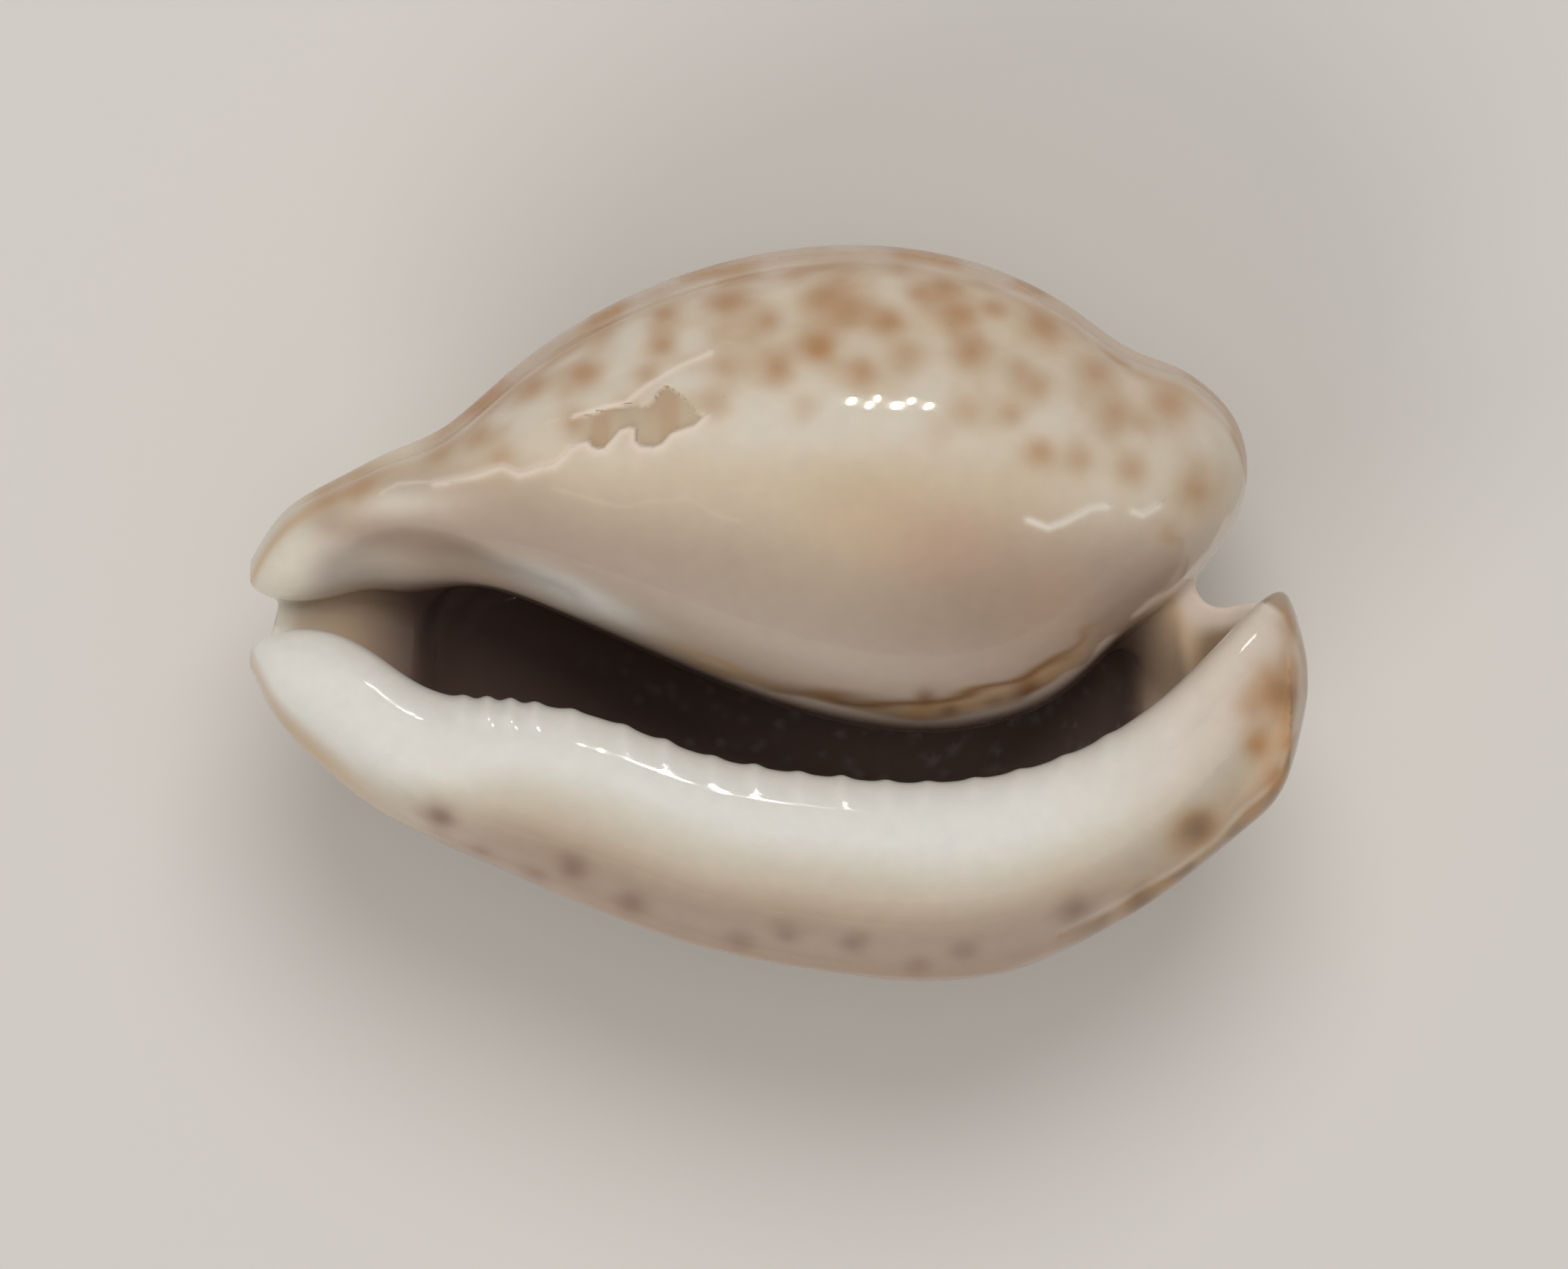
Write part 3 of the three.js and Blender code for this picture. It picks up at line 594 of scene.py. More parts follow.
def shell_field(x, y, z):
    """Below zero inside the shell's material, above zero outside it."""
    whorl = whorl_distance(x, y, z)
    outside = outside_body.distance(x, y, z)
    rim = outside_body.at("equator", x) + RIM_ABOVE_EQUATOR
    thickness = WALL_THICKNESS + END_THICKENING * outside_body.place(x) ** 2
    layer = common(outside, -(outside + thickness), LAYER_ROUNDING)
    bowl = common(layer, z - rim, RIM_ROUNDING)
    at_canals = smoothstep(np.abs(x), *CANAL_FROM)
    bowl = bowl + RIM_REMOVAL * at_canals * smoothstep(z - rim, *RIM_REMOVAL_HEIGHTS)
    curve = ROLL_AT_MIDDLE + (ROLL_AT_CANALS - ROLL_AT_MIDDLE) * smoothstep(np.abs(x), *ROLL_FROM)
    roll = (z - rim + curve * outside**2) / np.sqrt(1 + (2 * curve * outside) ** 2)
    deep = 1 - smoothstep(z, *DEEP_ROLL_HEIGHTS)
    rounding = ROLL_ROUNDING + (DEEP_ROLL_ROUNDING - ROLL_ROUNDING) * deep
    bowl = join(bowl, common(roll, outside, LAYER_ROUNDING), rounding)
    raised = smoothstep(z, DEEP_FILLET_TOP, EDGE_FILLET_BOTTOM)
    fillet = DEEP_FILLET + (EDGE_FILLET - DEEP_FILLET) * raised
    lip = lip_distance(x, y, z)
    filleted = join(join(bowl, whorl, fillet), lip, UNDER_LIP_FILLET)
    outermost = join(join(outside, whorl, EDGE_FILLET), lip, OUTER_LIP_FILLET)
    return np.maximum(filleted, outermost)


def along_line(x, y, line, reach):
    """Distance from a line on the plan, and on which side: above zero to the left of its direction."""
    line = np.array(line)
    low, high = line.min(0) - reach, line.max(0) + reach
    near = (x > low[0]) & (x < high[0]) & (y > low[1]) & (y < high[1])
    signed = np.full(np.shape(x), float(reach))
    px, py = x[near], y[near]
    best = np.full(px.shape, float(reach))
    side = np.ones(px.shape)
    for (x1, y1), (x2, y2) in zip(line[:-1], line[1:]):
        dx, dy = x2 - x1, y2 - y1
        t = np.clip(((px - x1) * dx + (py - y1) * dy) / (dx * dx + dy * dy), 0, 1)
        ox, oy = px - x1 - t * dx, py - y1 - t * dy
        away = np.hypot(ox, oy)
        closer = away < best
        best = np.where(closer, away, best)
        side = np.where(closer, np.sign(dx * oy - dy * ox + TINY), side)
    signed[near] = best * side
    return signed


def within(x, y, ring):
    """True inside a closed ring on the plan."""
    inside = np.zeros(np.shape(x), bool)
    for (x1, y1), (x2, y2) in zip(ring, ring[1:] + ring[:1]):
        spans = (y1 > y) != (y2 > y)
        inside ^= spans & (x < (x2 - x1) * (y - y1) / (y2 - y1 + TINY) + x1)
    return inside


def step_along(x, y, line, height, fade):
    """A broken edge: the surface stands up on the right of the line and sinks back away from it."""
    signed = along_line(x, y, line, 4 * fade)
    rise = smoothstep(-signed, -EDGE_BLEND, EDGE_BLEND)
    return height * rise * np.exp(-np.maximum(-signed, 0) / fade) * (signed < EDGE_BLEND)


def in_flake(x, y):
    """How far down a point of the flaked hollow is, from 0 at its edge to 1 on its floor."""
    away = np.abs(along_line(x, y, FLAKE_HOLE + FLAKE_HOLE[:1], LINE_LOOK))
    closed = np.where(within(x, y, FLAKE_HOLE), smoothstep(away, 0, FLAKE_EDGE), 0)
    return closed * smoothstep(x, *FLAKE_OPEN_END)


def relief(x, y, z):
    """How far fine detail stands out of the smooth surface: teeth, broken edges, chips and creases."""
    height = np.zeros(np.shape(x))
    inward = y - lip_body.at("inner_edge", x)
    on_edge = smoothstep(inward, *TOOTH_FADE) * smoothstep(z, *TOOTH_HEIGHTS) * (inward < TOOTH_REACH)
    for place, tall in TEETH:
        height += tall * np.exp(-((x - place) / TOOTH_WIDTH) ** 2) * on_edge
    upper = smoothstep(z, *UPPER_SIDE)
    height -= upper * FLAKE_DEPTH * in_flake(x, y)
    for line, tall, fade in STEPS:
        height += upper * step_along(x, y, line, tall, fade)
    crease = along_line(x, y, LIP_CREASE, LINE_LOOK)
    height -= upper * LIP_CREASE_DEPTH * np.exp(-(crease / LIP_CREASE_WIDTH) ** 2)
    return height


def detailed_field(x, y, z):
    return shell_field(x, y, z) - relief(x, y, z)


def slope_of(field, points):
    slope = np.empty_like(points)
    for axis in range(3):
        step = np.zeros(3)
        step[axis] = SLOPE_STEP
        slope[:, axis] = (field(*(points + step).T) - field(*(points - step).T)) / (2 * SLOPE_STEP)
    return slope


def draw_onto(field, points, steps):
    """Steps the points down the field's slope onto its surface."""
    for _ in range(steps):
        slope = slope_of(field, points)
        steepness = np.maximum((slope**2).sum(1), LEAST_STEEPNESS)
        move = (field(*points.T) / steepness)[:, None] * slope
        length = np.linalg.norm(move, axis=1)[:, None] + TINY
        points = points - move * np.minimum(1, LONGEST_MOVE / length)
    return points


def surface_net(field):
    """One point in each grid cell that the surface crosses, and a quad round each crossed grid edge."""
    axes = [np.arange(low, high, NET_CELL) for low, high in zip(NET_LOW, NET_HIGH)]
    grid = field(axes[0][:, None, None], axes[1][None, :, None], axes[2][None, None, :])
    inside = grid < 0
    crossings, rings = [], []
    for axis in range(3):
        step = np.eye(3, dtype=int)[axis]
        across, up = np.eye(3, dtype=int)[(axis + 1) % 3], np.eye(3, dtype=int)[(axis + 2) % 3]
        count = grid.shape[axis]
        at = np.argwhere(inside.take(range(count - 1), axis) != inside.take(range(1, count), axis))
        here, there = grid[tuple(at.T)], grid[tuple((at + step).T)]
        crossings.append(NET_LOW + NET_CELL * (at + step * (here / (here - there))[:, None]))
        corners = [at, at - across, at - across - up, at - up]
        ring = np.stack([np.ravel_multi_index(corner.T, grid.shape) for corner in corners], 1)
        ring[here >= 0] = ring[here >= 0][:, ::-1]
        rings.append(ring)
    crossings, rings = np.concatenate(crossings), np.concatenate(rings)
    cells, quads = np.unique(rings, return_inverse=True)
    shares = np.bincount(quads.ravel())
    points = [np.bincount(quads.ravel(), np.repeat(crossings[:, axis], 4)) / shares for axis in range(3)]
    return np.stack(points, 1), quads.reshape(rings.shape)


def even_out(field, points, quads):
    """Moves each point towards the middle of its neighbours, and back onto the surface."""
    edges = np.concatenate([quads[:, [i, (i + 1) % 4]] for i in range(4)])
    edges = np.concatenate([edges, edges[:, ::-1]])
    count = np.bincount(edges[:, 0])
    for _ in range(EVENING_ROUNDS):
        middles = [np.bincount(edges[:, 0], points[edges[:, 1], axis]) / count for axis in range(3)]
        points = draw_onto(field, (points + np.stack(middles, 1)) / 2, 1)
    return draw_onto(field, points, 2)


def refine(points, faces, chosen):
    """Splits each chosen quad in four. Its neighbours take up the new points on their edges."""
    points = list(points)
    middles = {}
    for face, split in zip(faces, chosen):
        if not split:
            continue
        for a, b in zip(face, face[1:] + face[:1]):
            edge = (min(a, b), max(a, b))
            if edge not in middles:
                middles[edge] = len(points)
                points.append((points[a] + points[b]) / 2)
    refined = []
    for face, split in zip(faces, chosen):
        ring = []
        for a, b in zip(face, face[1:] + face[:1]):
            ring.append(a)
            edge = (min(a, b), max(a, b))
            if edge in middles:
                ring.append(middles[edge])
        if not split:
            refined.append(ring)
            continue
        centre = len(points)
        points.append(sum(points[corner] for corner in face) / 4)
        for i in range(0, 8, 2):
            refined.append([ring[i], ring[i + 1], centre, ring[i - 1]])
    return np.array(points), refined


def middles_of(points, faces):
    corners = np.array([face[:4] for face in faces])
    return points[corners].mean(1)


def is_quad(faces):
    return np.array([len(face) == 4 for face in faces])


def near_detail(places, reach):
    """Which places are close to the finest detail."""
    x, y, z = places.T
    lines = [JAGGED_LIP, FLAKE_RIDGE, FRONT_CRACK, GROWTH_LINE, LIP_CREASE] + REAR_CHIPS
    near = np.zeros(len(places), bool)
    for line in lines:
        near |= np.abs(along_line(x, y, line, LINE_LOOK)) < reach
    near |= within(x, y, FLAKE_HOLE)
    inward = np.abs(y - lip_body.at("inner_edge", x))
    near |= (inward < 1 + reach) & (x > TEETH_SPAN[0]) & (x < TEETH_SPAN[1])
    return near & (z > DETAIL_ABOVE)


def as_light(colour):
    """From screen values to the linear values that Blender works with."""
    share = np.array(colour, float) / 255
    return np.where(share <= 0.04045, share / 12.92, ((share + 0.055) / 1.055) ** 2.4)


class Noise:
    """Smooth seeded noise between -1 and 1 in space."""

    def __init__(self, seed, size):
        self.values = np.random.default_rng(seed).uniform(-1, 1, (32, 32, 32))
        self.size = size

    def at(self, points):
        place = points / self.size + 500
        cell = np.floor(place).astype(int)
        share = place - cell
        share = share * share * (3 - 2 * share)
        total = np.zeros(len(points))
        for corner in np.ndindex(2, 2, 2):
            weight = np.prod(np.where(np.array(corner), share, 1 - share), 1)
            index = (cell + corner) % 32
            total += weight * self.values[tuple(index.T)]
        return total


def lay_on(colours, colour, weight):
    """Mixes a colour over the colours by a weight for each point."""
    weight = np.clip(weight, 0, 1)[:, None]
    return colours * (1 - weight) + as_light(colour) * weight


def patch(x, y, middle_x, middle_y, reach_x, reach_y):
    return np.exp(-((x - middle_x) / reach_x) ** 2 - ((y - middle_y) / reach_y) ** 2)


def band(value, middle, reach):
    return np.exp(-((value - middle) / reach) ** 2)


# Noises by their seeds and the sizes of their grains in millimetres
SPOT_NOISE = Noise(11, 1.7)
FINE_SPOT_NOISE = Noise(15, 0.7)
BROAD_NOISE = Noise(5, 5)
STREAK_NOISE = Noise(8, 1.4)
ORANGE_NOISE = Noise(29, 1.3)
HAZE_NOISE = Noise(25, 2.2)
LAP_NOISE = Noise(19, 2.4)
FLAKE_NOISE = Noise(23, 1)
LIP_NOISE = Noise(9, 5)
CREASE_NOISE = Noise(12, 2.2)
SPECK_NOISE = Noise(14, 0.5)
BACK_NOISE = Noise(17, 7)
BACK_SPOT_NOISE = Noise(18, 1.4)
MARGIN_NOISE = Noise(27, 3)


def spot_weights(points, spots, spread=1.0):
    """How strongly each point is in a spot and in its halo. Seeded noise makes the spots uneven."""
    wobble = 1 + 0.3 * SPOT_NOISE.at(points) + 0.06 * FINE_SPOT_NOISE.at(points)
    clear, bare = np.ones(len(points)), np.ones(len(points))
    for x, y, radius, strength in spots:
        from_above = np.hypot(points[:, 0] - x, points[:, 1] - y)
        heights = points[from_above < SPOT_LOOK, 2]
        height = heights[heights > heights.max() - SPOT_LOOK_DOWN].mean()
        away = np.hypot(from_above, SPOT_SINK * (points[:, 2] - height)) / (radius * spread) * wobble
        clear *= 1 - CORE_STRENGTH * strength * np.exp(-(away / SPOT_CORE) ** 2)
        bare *= 1 - HALO_STRENGTH * strength * np.exp(-(away / SPOT_HALO_REACH) ** 2)
    return 1 - clear, 1 - bare


def back_spots():
    """Places and sizes of the hidden back's spots, scattered evenly with a fixed seed."""
    random = np.random.default_rng(BACK_SEED)
    places = random.uniform(*BACK_BOX, (BACK_TRIES, 3))
    places = places[np.abs(outside_body.distance(*places.T)) < BACK_NEAR]
    found = []
    for place, radius in zip(places, random.uniform(*BACK_RADII, len(places))):
        if all(math.dist(place, other) > BACK_CROWDING * (radius + size) for other, size in found):
            found.append((place, radius))
    return found


def paint_streaks(colours, points, above_edge):
    """Orange and brown streaks along the columella's edge, over a pale rim."""
    x, y = points[:, :2].T
    level = above_edge + 0.5 * STREAK_NOISE.at(points * STREAK_STRETCH)
    along = smoothstep(x, *STREAK_STARTS) * (1 - smoothstep(x, *STREAK_ENDS))
    brown_line = STREAK_LINE + STREAK_SLOPE * x
    orange = smoothstep(level, *ORANGE_STARTS) * (1 - smoothstep(level, brown_line, brown_line + 0.4))
    orange_strength = 0.6 + 0.35 * ORANGE_NOISE.at(points)
    colours = lay_on(colours, STREAK_ORANGE, orange_strength * along * orange)
    colours = lay_on(colours, STREAK_ORANGE, 0.6 * patch(level, x, *FRONT_STREAK))
    colours = lay_on(colours, STREAK_BROWN, 0.85 * along * band(level, brown_line, 0.3))
    blotches = spot_weights(points, STREAK_BLOTCHES)[0]
    colours = lay_on(colours, STREAK_BROWN, blotches)
    pale_rim = smoothstep(PALE_RIM_WIDTH - level, 0, 0.4) * smoothstep(x, *PALE_RIM_STARTS)
    return lay_on(colours, STREAK_RIM, pale_rim)


def paint_front(colours, points, above_edge, upper_gap):
    """The whorl's front end: a pale tip and front end, made lighter still with painted light where the
    shape falls into shade, painted light by the fossula, and an orange edge.
    """
    x, y = points[:, :2].T
    front = 1 - smoothstep(x, *FRONT_FADE)
    below_slant = smoothstep(FRONT_SLANT * x - y, 0, 1.5)
    # the front end's pale colour, lightened further with painted light on its shaded slope
    colours = lay_on(colours, LIP_WHITE, 0.35 * front * below_slant)
    # painted light by the fossula, which the shape shades
    colours = lay_on(colours, LIP_WHITE, 0.95 * patch(above_edge, x, *FOSSULA_PAINTED_LIGHT))
    # the pale tip, lightened further with painted light
    colours = lay_on(colours, PALE_CREAM, 0.8 * (1 - smoothstep(x, *PALE_TIP_FADE)))
    colours = lay_on(colours, PALE_CREAM, 0.8 * patch(x, y, *PALE_FRONT))
    orange_edge = (1 - smoothstep(x, *ORANGE_EDGE_FADE)) * band(upper_gap, ORANGE_EDGE_GAP, 0.5)
    return lay_on(colours, STREAK_ORANGE, 0.6 * orange_edge)


def paint_whorl(colours, points):
    """The mouth side of the last whorl: cream above, lilac and pink towards the columella."""
    x, y = points[:, :2].T
    broad = BROAD_NOISE.at(points)
    colours = lay_on(colours, WARM_CREAM, 0.3 + 0.35 * broad)
    colours = lay_on(colours, PALE_CREAM, 0.8 * patch(x, y, *PALE_BULB))
    low = smoothstep(LILAC_LINE + LILAC_SLOPE * x - y + broad, *LILAC_FADE)
    colours = lay_on(colours, LILAC, 0.85 * low)
    for colour, strength, *place in WHORL_PATCHES:
        colours = lay_on(colours, colour, strength * patch(x, y, *place))
    above_edge = y - whorl_body.at("lower_edge", x)
    colours = lay_on(colours, RIM_PINK, 0.8 * patch(above_edge, x, *PINK_RIM))
    colours = lay_on(colours, BODY_SHADE, 0.4 * patch(x, y, *SHADED_BODY))
    colours = paint_streaks(colours, points, above_edge)
    upper_gap = whorl_body.at("upper_edge", x) - y
    colours = paint_front(colours, points, above_edge, upper_gap)
    # spots on a paler upper part
    colours = lay_on(colours, PALE_CREAM, 0.9 * smoothstep(y, *PALE_UPPER_FADE))
    core, halo = spot_weights(points, WHORL_SPOTS, WHORL_SPOT_SPREAD)
    haze = patch(x, y, *SPOT_HAZE) * smoothstep(HAZE_NOISE.at(points), -0.4, 0.5)
    colours = lay_on(colours, SPOT_HALO, 0.35 * haze)
    colours = lay_on(colours, SPOT_HALO, 0.45 * halo)
    colours = lay_on(colours, SPOT_BROWN, core)
    # the glaze that laps over the margin is thin and shows a pinkish band
    behind_tip = smoothstep(x, *LAP_STARTS)
    lapped = smoothstep(LAP_WIDTH + LAP_BLUR - upper_gap, 0, 0.4) * behind_tip
    colours = lay_on(colours, LAP_BEIGE, 0.8 * lapped)
    patchy = smoothstep(LAP_NOISE.at(points), -0.2, 0.6)
    colours = lay_on(colours, SPOT_BROWN, 0.7 * lapped * patchy)
    below_lap = band(upper_gap, LAP_WIDTH + LAP_STAIN_GAP, 0.4) * behind_tip
    return lay_on(colours, SPOT_BROWN, 0.9 * below_lap * (0.4 + 0.6 * patchy))


def paint_damage(colours, points):
    x, y = points[:, :2].T
    floor_share = in_flake(x, y)
    streaks = smoothstep(FLAKE_NOISE.at(points * FLAKE_STRETCH), -0.2, 0.5)
    colours = lay_on(colours, PALE_CREAM, 0.8 * patch(x, y, *PALE_ABOVE_FLAKE))
    colours = lay_on(colours, FLAKE_TAN, 0.95 * floor_share)
    colours = lay_on(colours, SPOT_BROWN, 0.35 * floor_share * streaks)
    # pale lines along the damage; on the broken edges and chips they are partly painted highlights
    for line, colour, reach, strength in PAINTED_EDGES:
        on_edge = band(along_line(x, y, line, LINE_LOOK), -PAINTED_EDGE_SHIFT, reach)
        colours = lay_on(colours, colour, strength * (1 - floor_share) * on_edge)
    return colours


def paint_lip(colours, points):
    """White along the mouth, then beige, and lilac at the margin."""
    x, y, z = points.T
    inner, outer = lip_body.at("inner_edge", x), lip_body.at("outer_edge", x)
    share = (inner - y) / np.maximum(inner - outer, 1) + 0.03 * LIP_NOISE.at(points)
    colours[:] = as_light(LIP_WHITE)
    front, rear = smoothstep(-x, *LIP_FRONT), smoothstep(x, *LIP_REAR)
    # at the front the bands start further out: the white there is partly painted light on the lip's shaded
    # outer slope
    share = share - 0.4 * front - 0.15 * rear
    colours = lay_on(colours, LIP_PINK, 0.7 * rear)
    for colour, fade in LIP_BANDS:
        colours = lay_on(colours, colour, smoothstep(share, *fade))
    colours = lay_on(colours, STREAK_ORANGE, 0.12 * rear * smoothstep(share, *REAR_ORANGE_FADE))
    front_margin = smoothstep(-x, *FRONT_MARGIN) * smoothstep(outer + FRONT_MARGIN_WIDTH - y, 0, 1.4)
    colours = lay_on(colours, STREAK_ORANGE, 0.5 * front_margin)
    crease = along_line(x, y, LIP_CREASE, CREASE_BAND)
    beyond = smoothstep(crease, -0.1, 0.35) * (crease < CREASE_BAND)
    beyond = beyond * smoothstep(x, *CREASE_STARTS) * smoothstep(z, *CREASE_BAND_HEIGHTS)
    patchy = smoothstep(CREASE_NOISE.at(points), -0.3, 0.4)
    colours = lay_on(colours, BAND_GREY, 0.85 * beyond)
    colours = lay_on(colours, BAND_BROWN, 0.8 * beyond * patchy)
    colours = lay_on(colours, CHIP_WHITE_AND_HIGHLIGHT, 0.35 * band(crease, 0, 0.2) * smoothstep(x, *CREASE_EDGE_STARTS))
    for spots, colour in (
        (LIP_SPOTS, SPOT_BROWN), (DARK_SPOTS, BAND_BROWN), (MARGIN_SPOTS, SPOT_PURPLE),
    ):
        core, halo = spot_weights(points, spots, LIP_SPOT_SPREAD)
        colours = lay_on(colours, SPOT_HALO, 0.3 * halo)
        colours = lay_on(colours, colour, core)
    return colours


def paint_inside(points):
    """Brown darkened with painted shade, paler towards the canals with painted light, darker at the rear
    canal with painted shade, and faint pale specks under the rear of the mouth.
    """
    x, y, z = points.T
    colours = np.tile(as_light(INSIDE_BROWN_AND_SHADE), (len(points), 1))
    to_canal = np.maximum(smoothstep(-x, *FRONT_CANAL), smoothstep(x, *REAR_CANAL_FLOOR))
    # painted light on the canals' floors and rims
    colours = lay_on(colours, LIT_CANAL_TAN, to_canal * smoothstep(z, *CANAL_HEIGHTS))
    to_rim = np.maximum(smoothstep(-x, *FRONT_CANAL_RIM), smoothstep(x, *REAR_CANAL_RIM))
    colours = lay_on(colours, LIT_CANAL_RIM, to_rim * smoothstep(z, *CANAL_RIM_HEIGHTS))
    colours = lay_on(colours, INSIDE_PALE, 0.6 * patch(x, y, *PALE_INSIDE))
    # painted shade over the rear canal's end
    colours = lay_on(colours, REAR_CANAL_SHADE, 0.8 * smoothstep(x, *REAR_CANAL_END))
    specks = smoothstep(SPECK_NOISE.at(points), 0.35, 0.75) * patch(x, y, *SPECKLED_INSIDE)
    return lay_on(colours, LIP_WHITE, 0.4 * specks)


def paint_back(points):
    """The hidden back: cream and grey under dark brown spots, as such shells have."""
    colours = np.tile(as_light(BACK_CREAM), (len(points), 1))
    colours = lay_on(colours, BACK_GREY, smoothstep(BACK_NOISE.at(points), -0.3, 0.6) * 0.7)
    wobble = 1 + 0.25 * BACK_SPOT_NOISE.at(points)
    clear, bare = np.ones(len(points)), np.ones(len(points))
    for place, radius in back_spots():
        away = np.linalg.norm(points - place, axis=1) / radius * wobble
        clear *= 1 - CORE_STRENGTH * np.exp(-away**4)
        bare *= 1 - HALO_STRENGTH * np.exp(-(away / BACK_HALO_REACH) ** 2)
    colours = lay_on(colours, SPOT_HALO, 1 - bare)
    return lay_on(colours, BACK_BROWN, 0.9 * (1 - clear))


def shell_colours(points):
    """The glaze's colour at each point, from the back up to the mouth."""
    x, y, z = points.T
    colours = np.tile(as_light(CREAM), (len(points), 1))
    whorl = paint_damage(paint_whorl(colours.copy(), points), points)
    lip = paint_lip(colours.copy(), points)
    on_lip = smoothstep(whorl_distance(x, y, z) - lip_distance(x, y, z), -0.3, 0.3)[:, None]
    colours = whorl * (1 - on_lip) + lip * on_lip
    # inside the shell: brown darkened with painted shade
    depth = -outside_body.distance(x, y, z)
    sunk = smoothstep(depth, *INSIDE_DEPTHS) * smoothstep(INSIDE_TOP - z, 0, INSIDE_FADE)
    colours = colours * (1 - sunk[:, None]) + paint_inside(points) * sunk[:, None]
    margin = BACK_TOP + 0.8 * MARGIN_NOISE.at(points)
    outer = (1 - smoothstep(np.abs(depth), *BACK_DEPTHS)) * smoothstep(margin - z, 0, BACK_FADE)
    return colours * (1 - outer[:, None]) + paint_back(points) * outer[:, None]


points, quads = surface_net(shell_field)
points = even_out(shell_field, points, quads)
faces = quads.tolist()
face_middles = middles_of(points, faces)
face_slopes = slope_of(shell_field, face_middles)
seen = (face_slopes[:, 2] > LEAST_UP) & (face_middles[:, 2] > FINER_ABOVE)
points, faces = refine(points, faces, seen)
fine_faces = near_detail(middles_of(points, faces), FINE_REACH) & is_quad(faces)
points, faces = refine(points, faces, fine_faces)
points = draw_onto(shell_field, points, 2)
detailed = near_detail(points, RELIEF_REACH)
points[detailed] = draw_onto(detailed_field, points[detailed], 3)
points[:, 0] = np.clip(points[:, 0], *BLUNT_TIPS)
points[:, 2] = np.maximum(points[:, 2], 0)
normals = slope_of(shell_field, points)
normals[detailed] = slope_of(detailed_field, points[detailed])
normals /= np.linalg.norm(normals, axis=1)[:, None] + TINY
normals[points[:, 2] <= 0] = (0, 0, -1)

mesh = bpy.data.meshes.new("cowrie_shell_glazed")
mesh.from_pydata((points * MM).tolist(), [], faces)
mesh.shade_smooth()
mesh.normals_split_custom_set_from_vertices(normals.tolist())
glaze = mesh.attributes.new("glaze_colour", "FLOAT_COLOR", "POINT")
colours = shell_colours(points)
glaze.data.foreach_set("color", np.hstack([colours, np.ones((len(points), 1))]).ravel())
shell = bpy.data.objects.new("cowrie_shell_glazed", mesh)
bpy.context.scene.collection.objects.link(shell)

material = bpy.data.materials.new("porcelain_glaze")
material.use_nodes = True
nodes, links = material.node_tree.nodes, material.node_tree.links
shader = nodes["Principled BSDF"]
shader.inputs["Specular IOR Level"].default_value = GLAZE_SPECULAR
shader.inputs["Subsurface Weight"].default_value = GLAZE_SUBSURFACE
shader.inputs["Subsurface Scale"].default_value = GLAZE_DEPTH
attribute = nodes.new("ShaderNodeAttribute")
attribute.attribute_name = "glaze_colour"
coordinates = nodes.new("ShaderNodeTexCoord")
mottle = nodes.new("ShaderNodeTexNoise")
mottle.inputs["Scale"].default_value = MOTTLE_SCALE
mottle.inputs["Detail"].default_value = MOTTLE_DETAIL
links.new(coordinates.outputs["Object"], mottle.inputs["Vector"])
shade = nodes.new("ShaderNodeMapRange")
shade.inputs["To Min"].default_value = MOTTLE_RANGE[0]
shade.inputs["To Max"].default_value = MOTTLE_RANGE[1]
links.new(mottle.outputs["Fac"], shade.inputs["Value"])
tint = nodes.new("ShaderNodeMix")
tint.data_type = "RGBA"
tint.blend_type = "MULTIPLY"
tint.inputs["Factor"].default_value = 1
links.new(attribute.outputs["Color"], tint.inputs["A"])
links.new(shade.outputs["Result"], tint.inputs["B"])
links.new(tint.outputs["Result"], shader.inputs["Base Color"])
wear = nodes.new("ShaderNodeTexNoise")
wear.inputs["Scale"].default_value = WEAR_SCALE
wear.inputs["Detail"].default_value = WEAR_DETAIL
links.new(coordinates.outputs["Object"], wear.inputs["Vector"])
gloss = nodes.new("ShaderNodeMapRange")
gloss.inputs["To Min"].default_value = ROUGHNESS_RANGE[0]
gloss.inputs["To Max"].default_value = ROUGHNESS_RANGE[1]
links.new(wear.outputs["Fac"], gloss.inputs["Value"])
links.new(gloss.outputs["Result"], shader.inputs["Roughness"])
ripple = nodes.new("ShaderNodeBump")
ripple.inputs["Strength"].default_value = RIPPLE_STRENGTH
ripple.inputs["Distance"].default_value = RIPPLE_HEIGHT
links.new(wear.outputs["Fac"], ripple.inputs["Height"])
links.new(ripple.outputs["Normal"], shader.inputs["Normal"])
mesh.materials.append(material)

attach(shell, "root")
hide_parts("cowrie_shell")

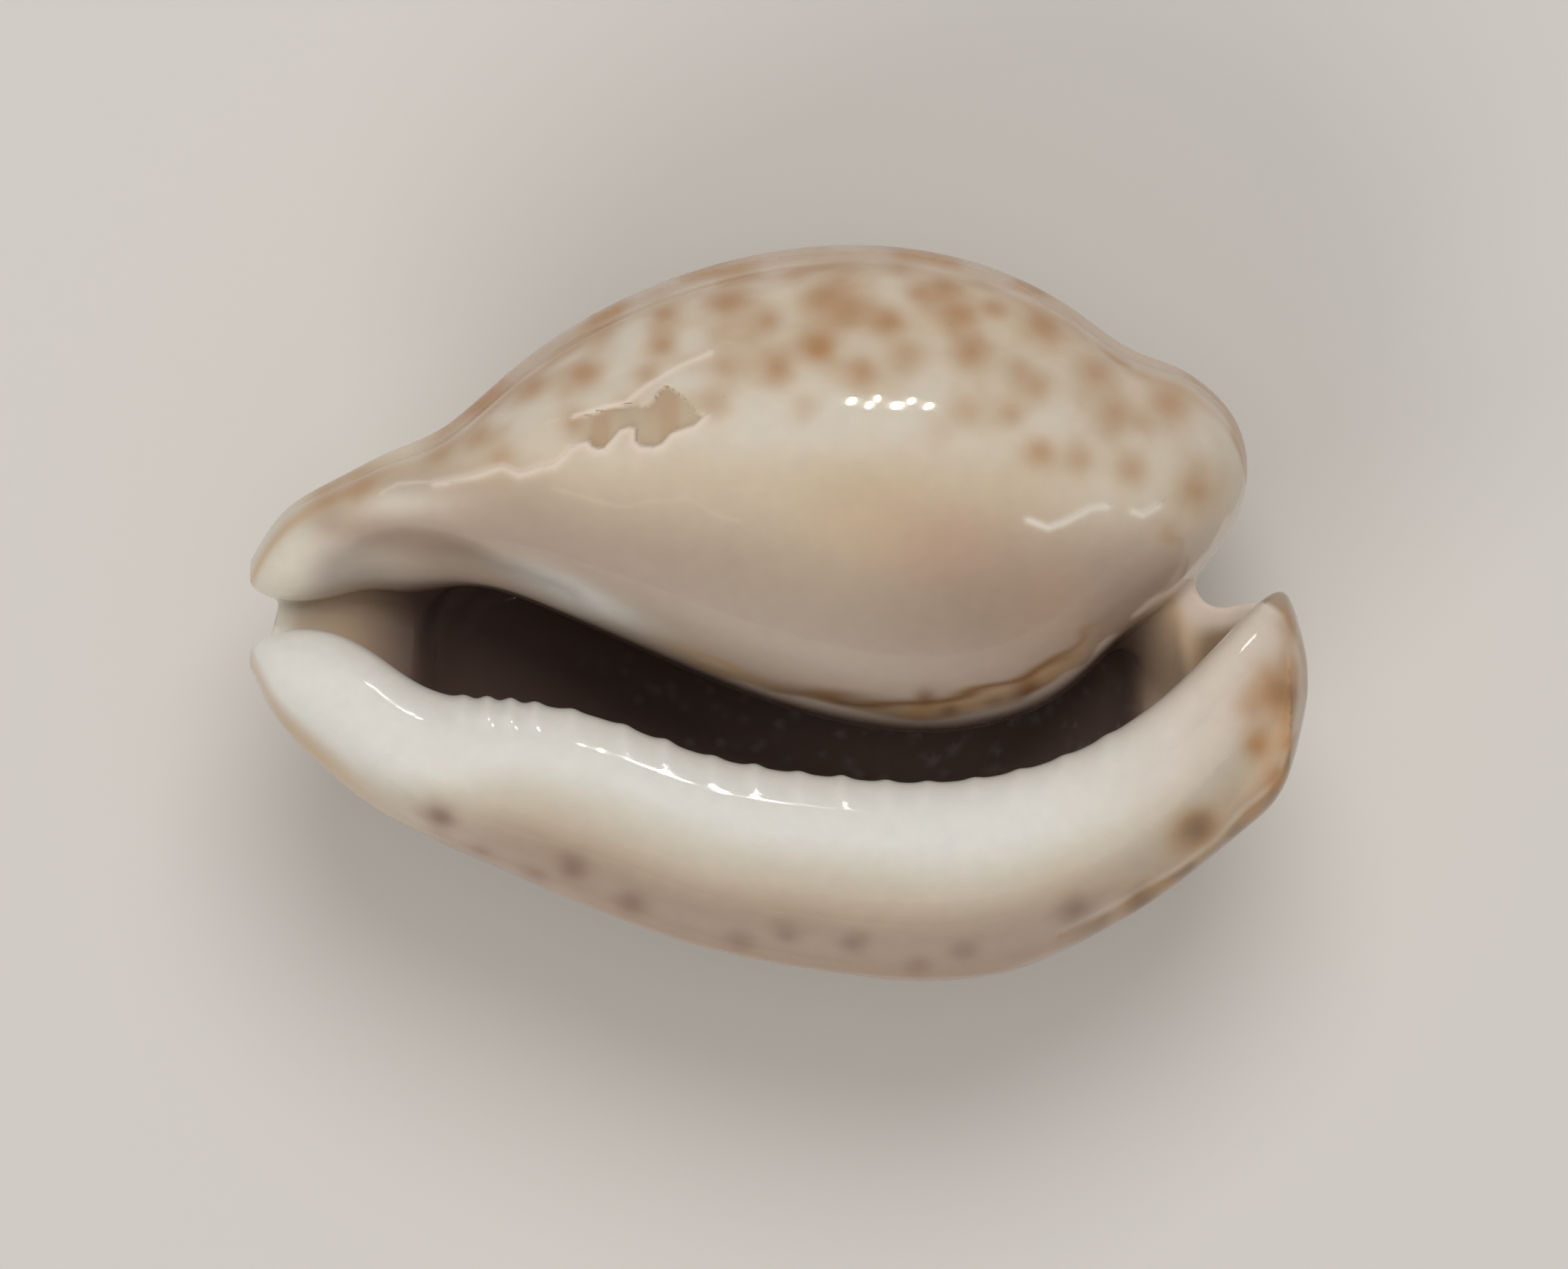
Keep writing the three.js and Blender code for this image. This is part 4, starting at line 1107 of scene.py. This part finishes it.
floor_mesh = bpy.data.meshes.new("floor")
floor_corners = [(FLOOR_REACH * x, FLOOR_REACH * y, 0) for x, y in ((-1, -1), (1, -1), (1, 1), (-1, 1))]
floor_mesh.from_pydata(floor_corners, [], [(0, 1, 2, 3)])
floor = bpy.data.objects.new("floor", floor_mesh)
bpy.context.scene.collection.objects.link(floor)
floor_material = bpy.data.materials.new("pale_floor")
floor_material.use_nodes = True
floor_shader = floor_material.node_tree.nodes["Principled BSDF"]
floor_shader.inputs["Base Color"].default_value = FLOOR_COLOUR
floor_shader.inputs["Roughness"].default_value = FLOOR_ROUGHNESS
floor_mesh.materials.append(floor_material)

world = bpy.data.worlds.new("studio")
bpy.context.scene.world = world
world.use_nodes = True
air = world.node_tree.nodes["Background"]
air.inputs["Color"].default_value = AIR_COLOUR
air.inputs["Strength"].default_value = AIR_STRENGTH


def area_lamp(name, place, width, length, power, mirrored):
    """A lamp that faces the shell. A mirrored lamp makes only highlights, and the others only light."""
    lamp = bpy.data.lights.new(name, "AREA")
    lamp.shape = "ELLIPSE"
    lamp.size = width
    lamp.size_y = length
    lamp.energy = power
    lamp.color = LAMP_COLOUR
    holder = bpy.data.objects.new(name, lamp)
    holder.location = place
    holder.visible_glossy = mirrored
    holder.visible_diffuse = not mirrored
    aim = Vector((0, 0, CAMERA_AIM)) - Vector(place)
    holder.rotation_euler = aim.to_track_quat("-Z", "Y").to_euler()
    bpy.context.scene.collection.objects.link(holder)


for number, (lamp_x, lamp_y, width) in enumerate(KEY_LAMPS):
    place = (lamp_x, lamp_y, KEY_HEIGHT)
    area_lamp(f"key_lamp_{number}", place, width, KEY_LENGTH, KEY_POWER * width, True)
for name, (place, width, power) in SOFT_LAMPS.items():
    area_lamp(name, place, width, width, power, False)

camera_data = bpy.data.cameras.new("camera")
camera = bpy.data.objects.new("camera", camera_data)
bpy.context.scene.collection.objects.link(camera)
bpy.context.scene.camera = camera
camera.location = (0, 0, CAMERA_HEIGHT + CAMERA_AIM)
camera_data.sensor_width = SENSOR_WIDTH
subject_distance = CAMERA_HEIGHT + CAMERA_AIM - SCALE_HEIGHT
camera_data.lens = SENSOR_WIDTH * PHOTO_SCALE / MM * subject_distance / PHOTO_WIDTH
camera_data.shift_x = (PHOTO_WIDTH / 2 - PHOTO_MIDDLE[0]) / PHOTO_WIDTH
camera_data.shift_y = (PHOTO_MIDDLE[1] - PHOTO_HEIGHT / 2) / PHOTO_WIDTH
camera_data.clip_end = 10

bpy.context.scene.view_settings.view_transform = "Standard"
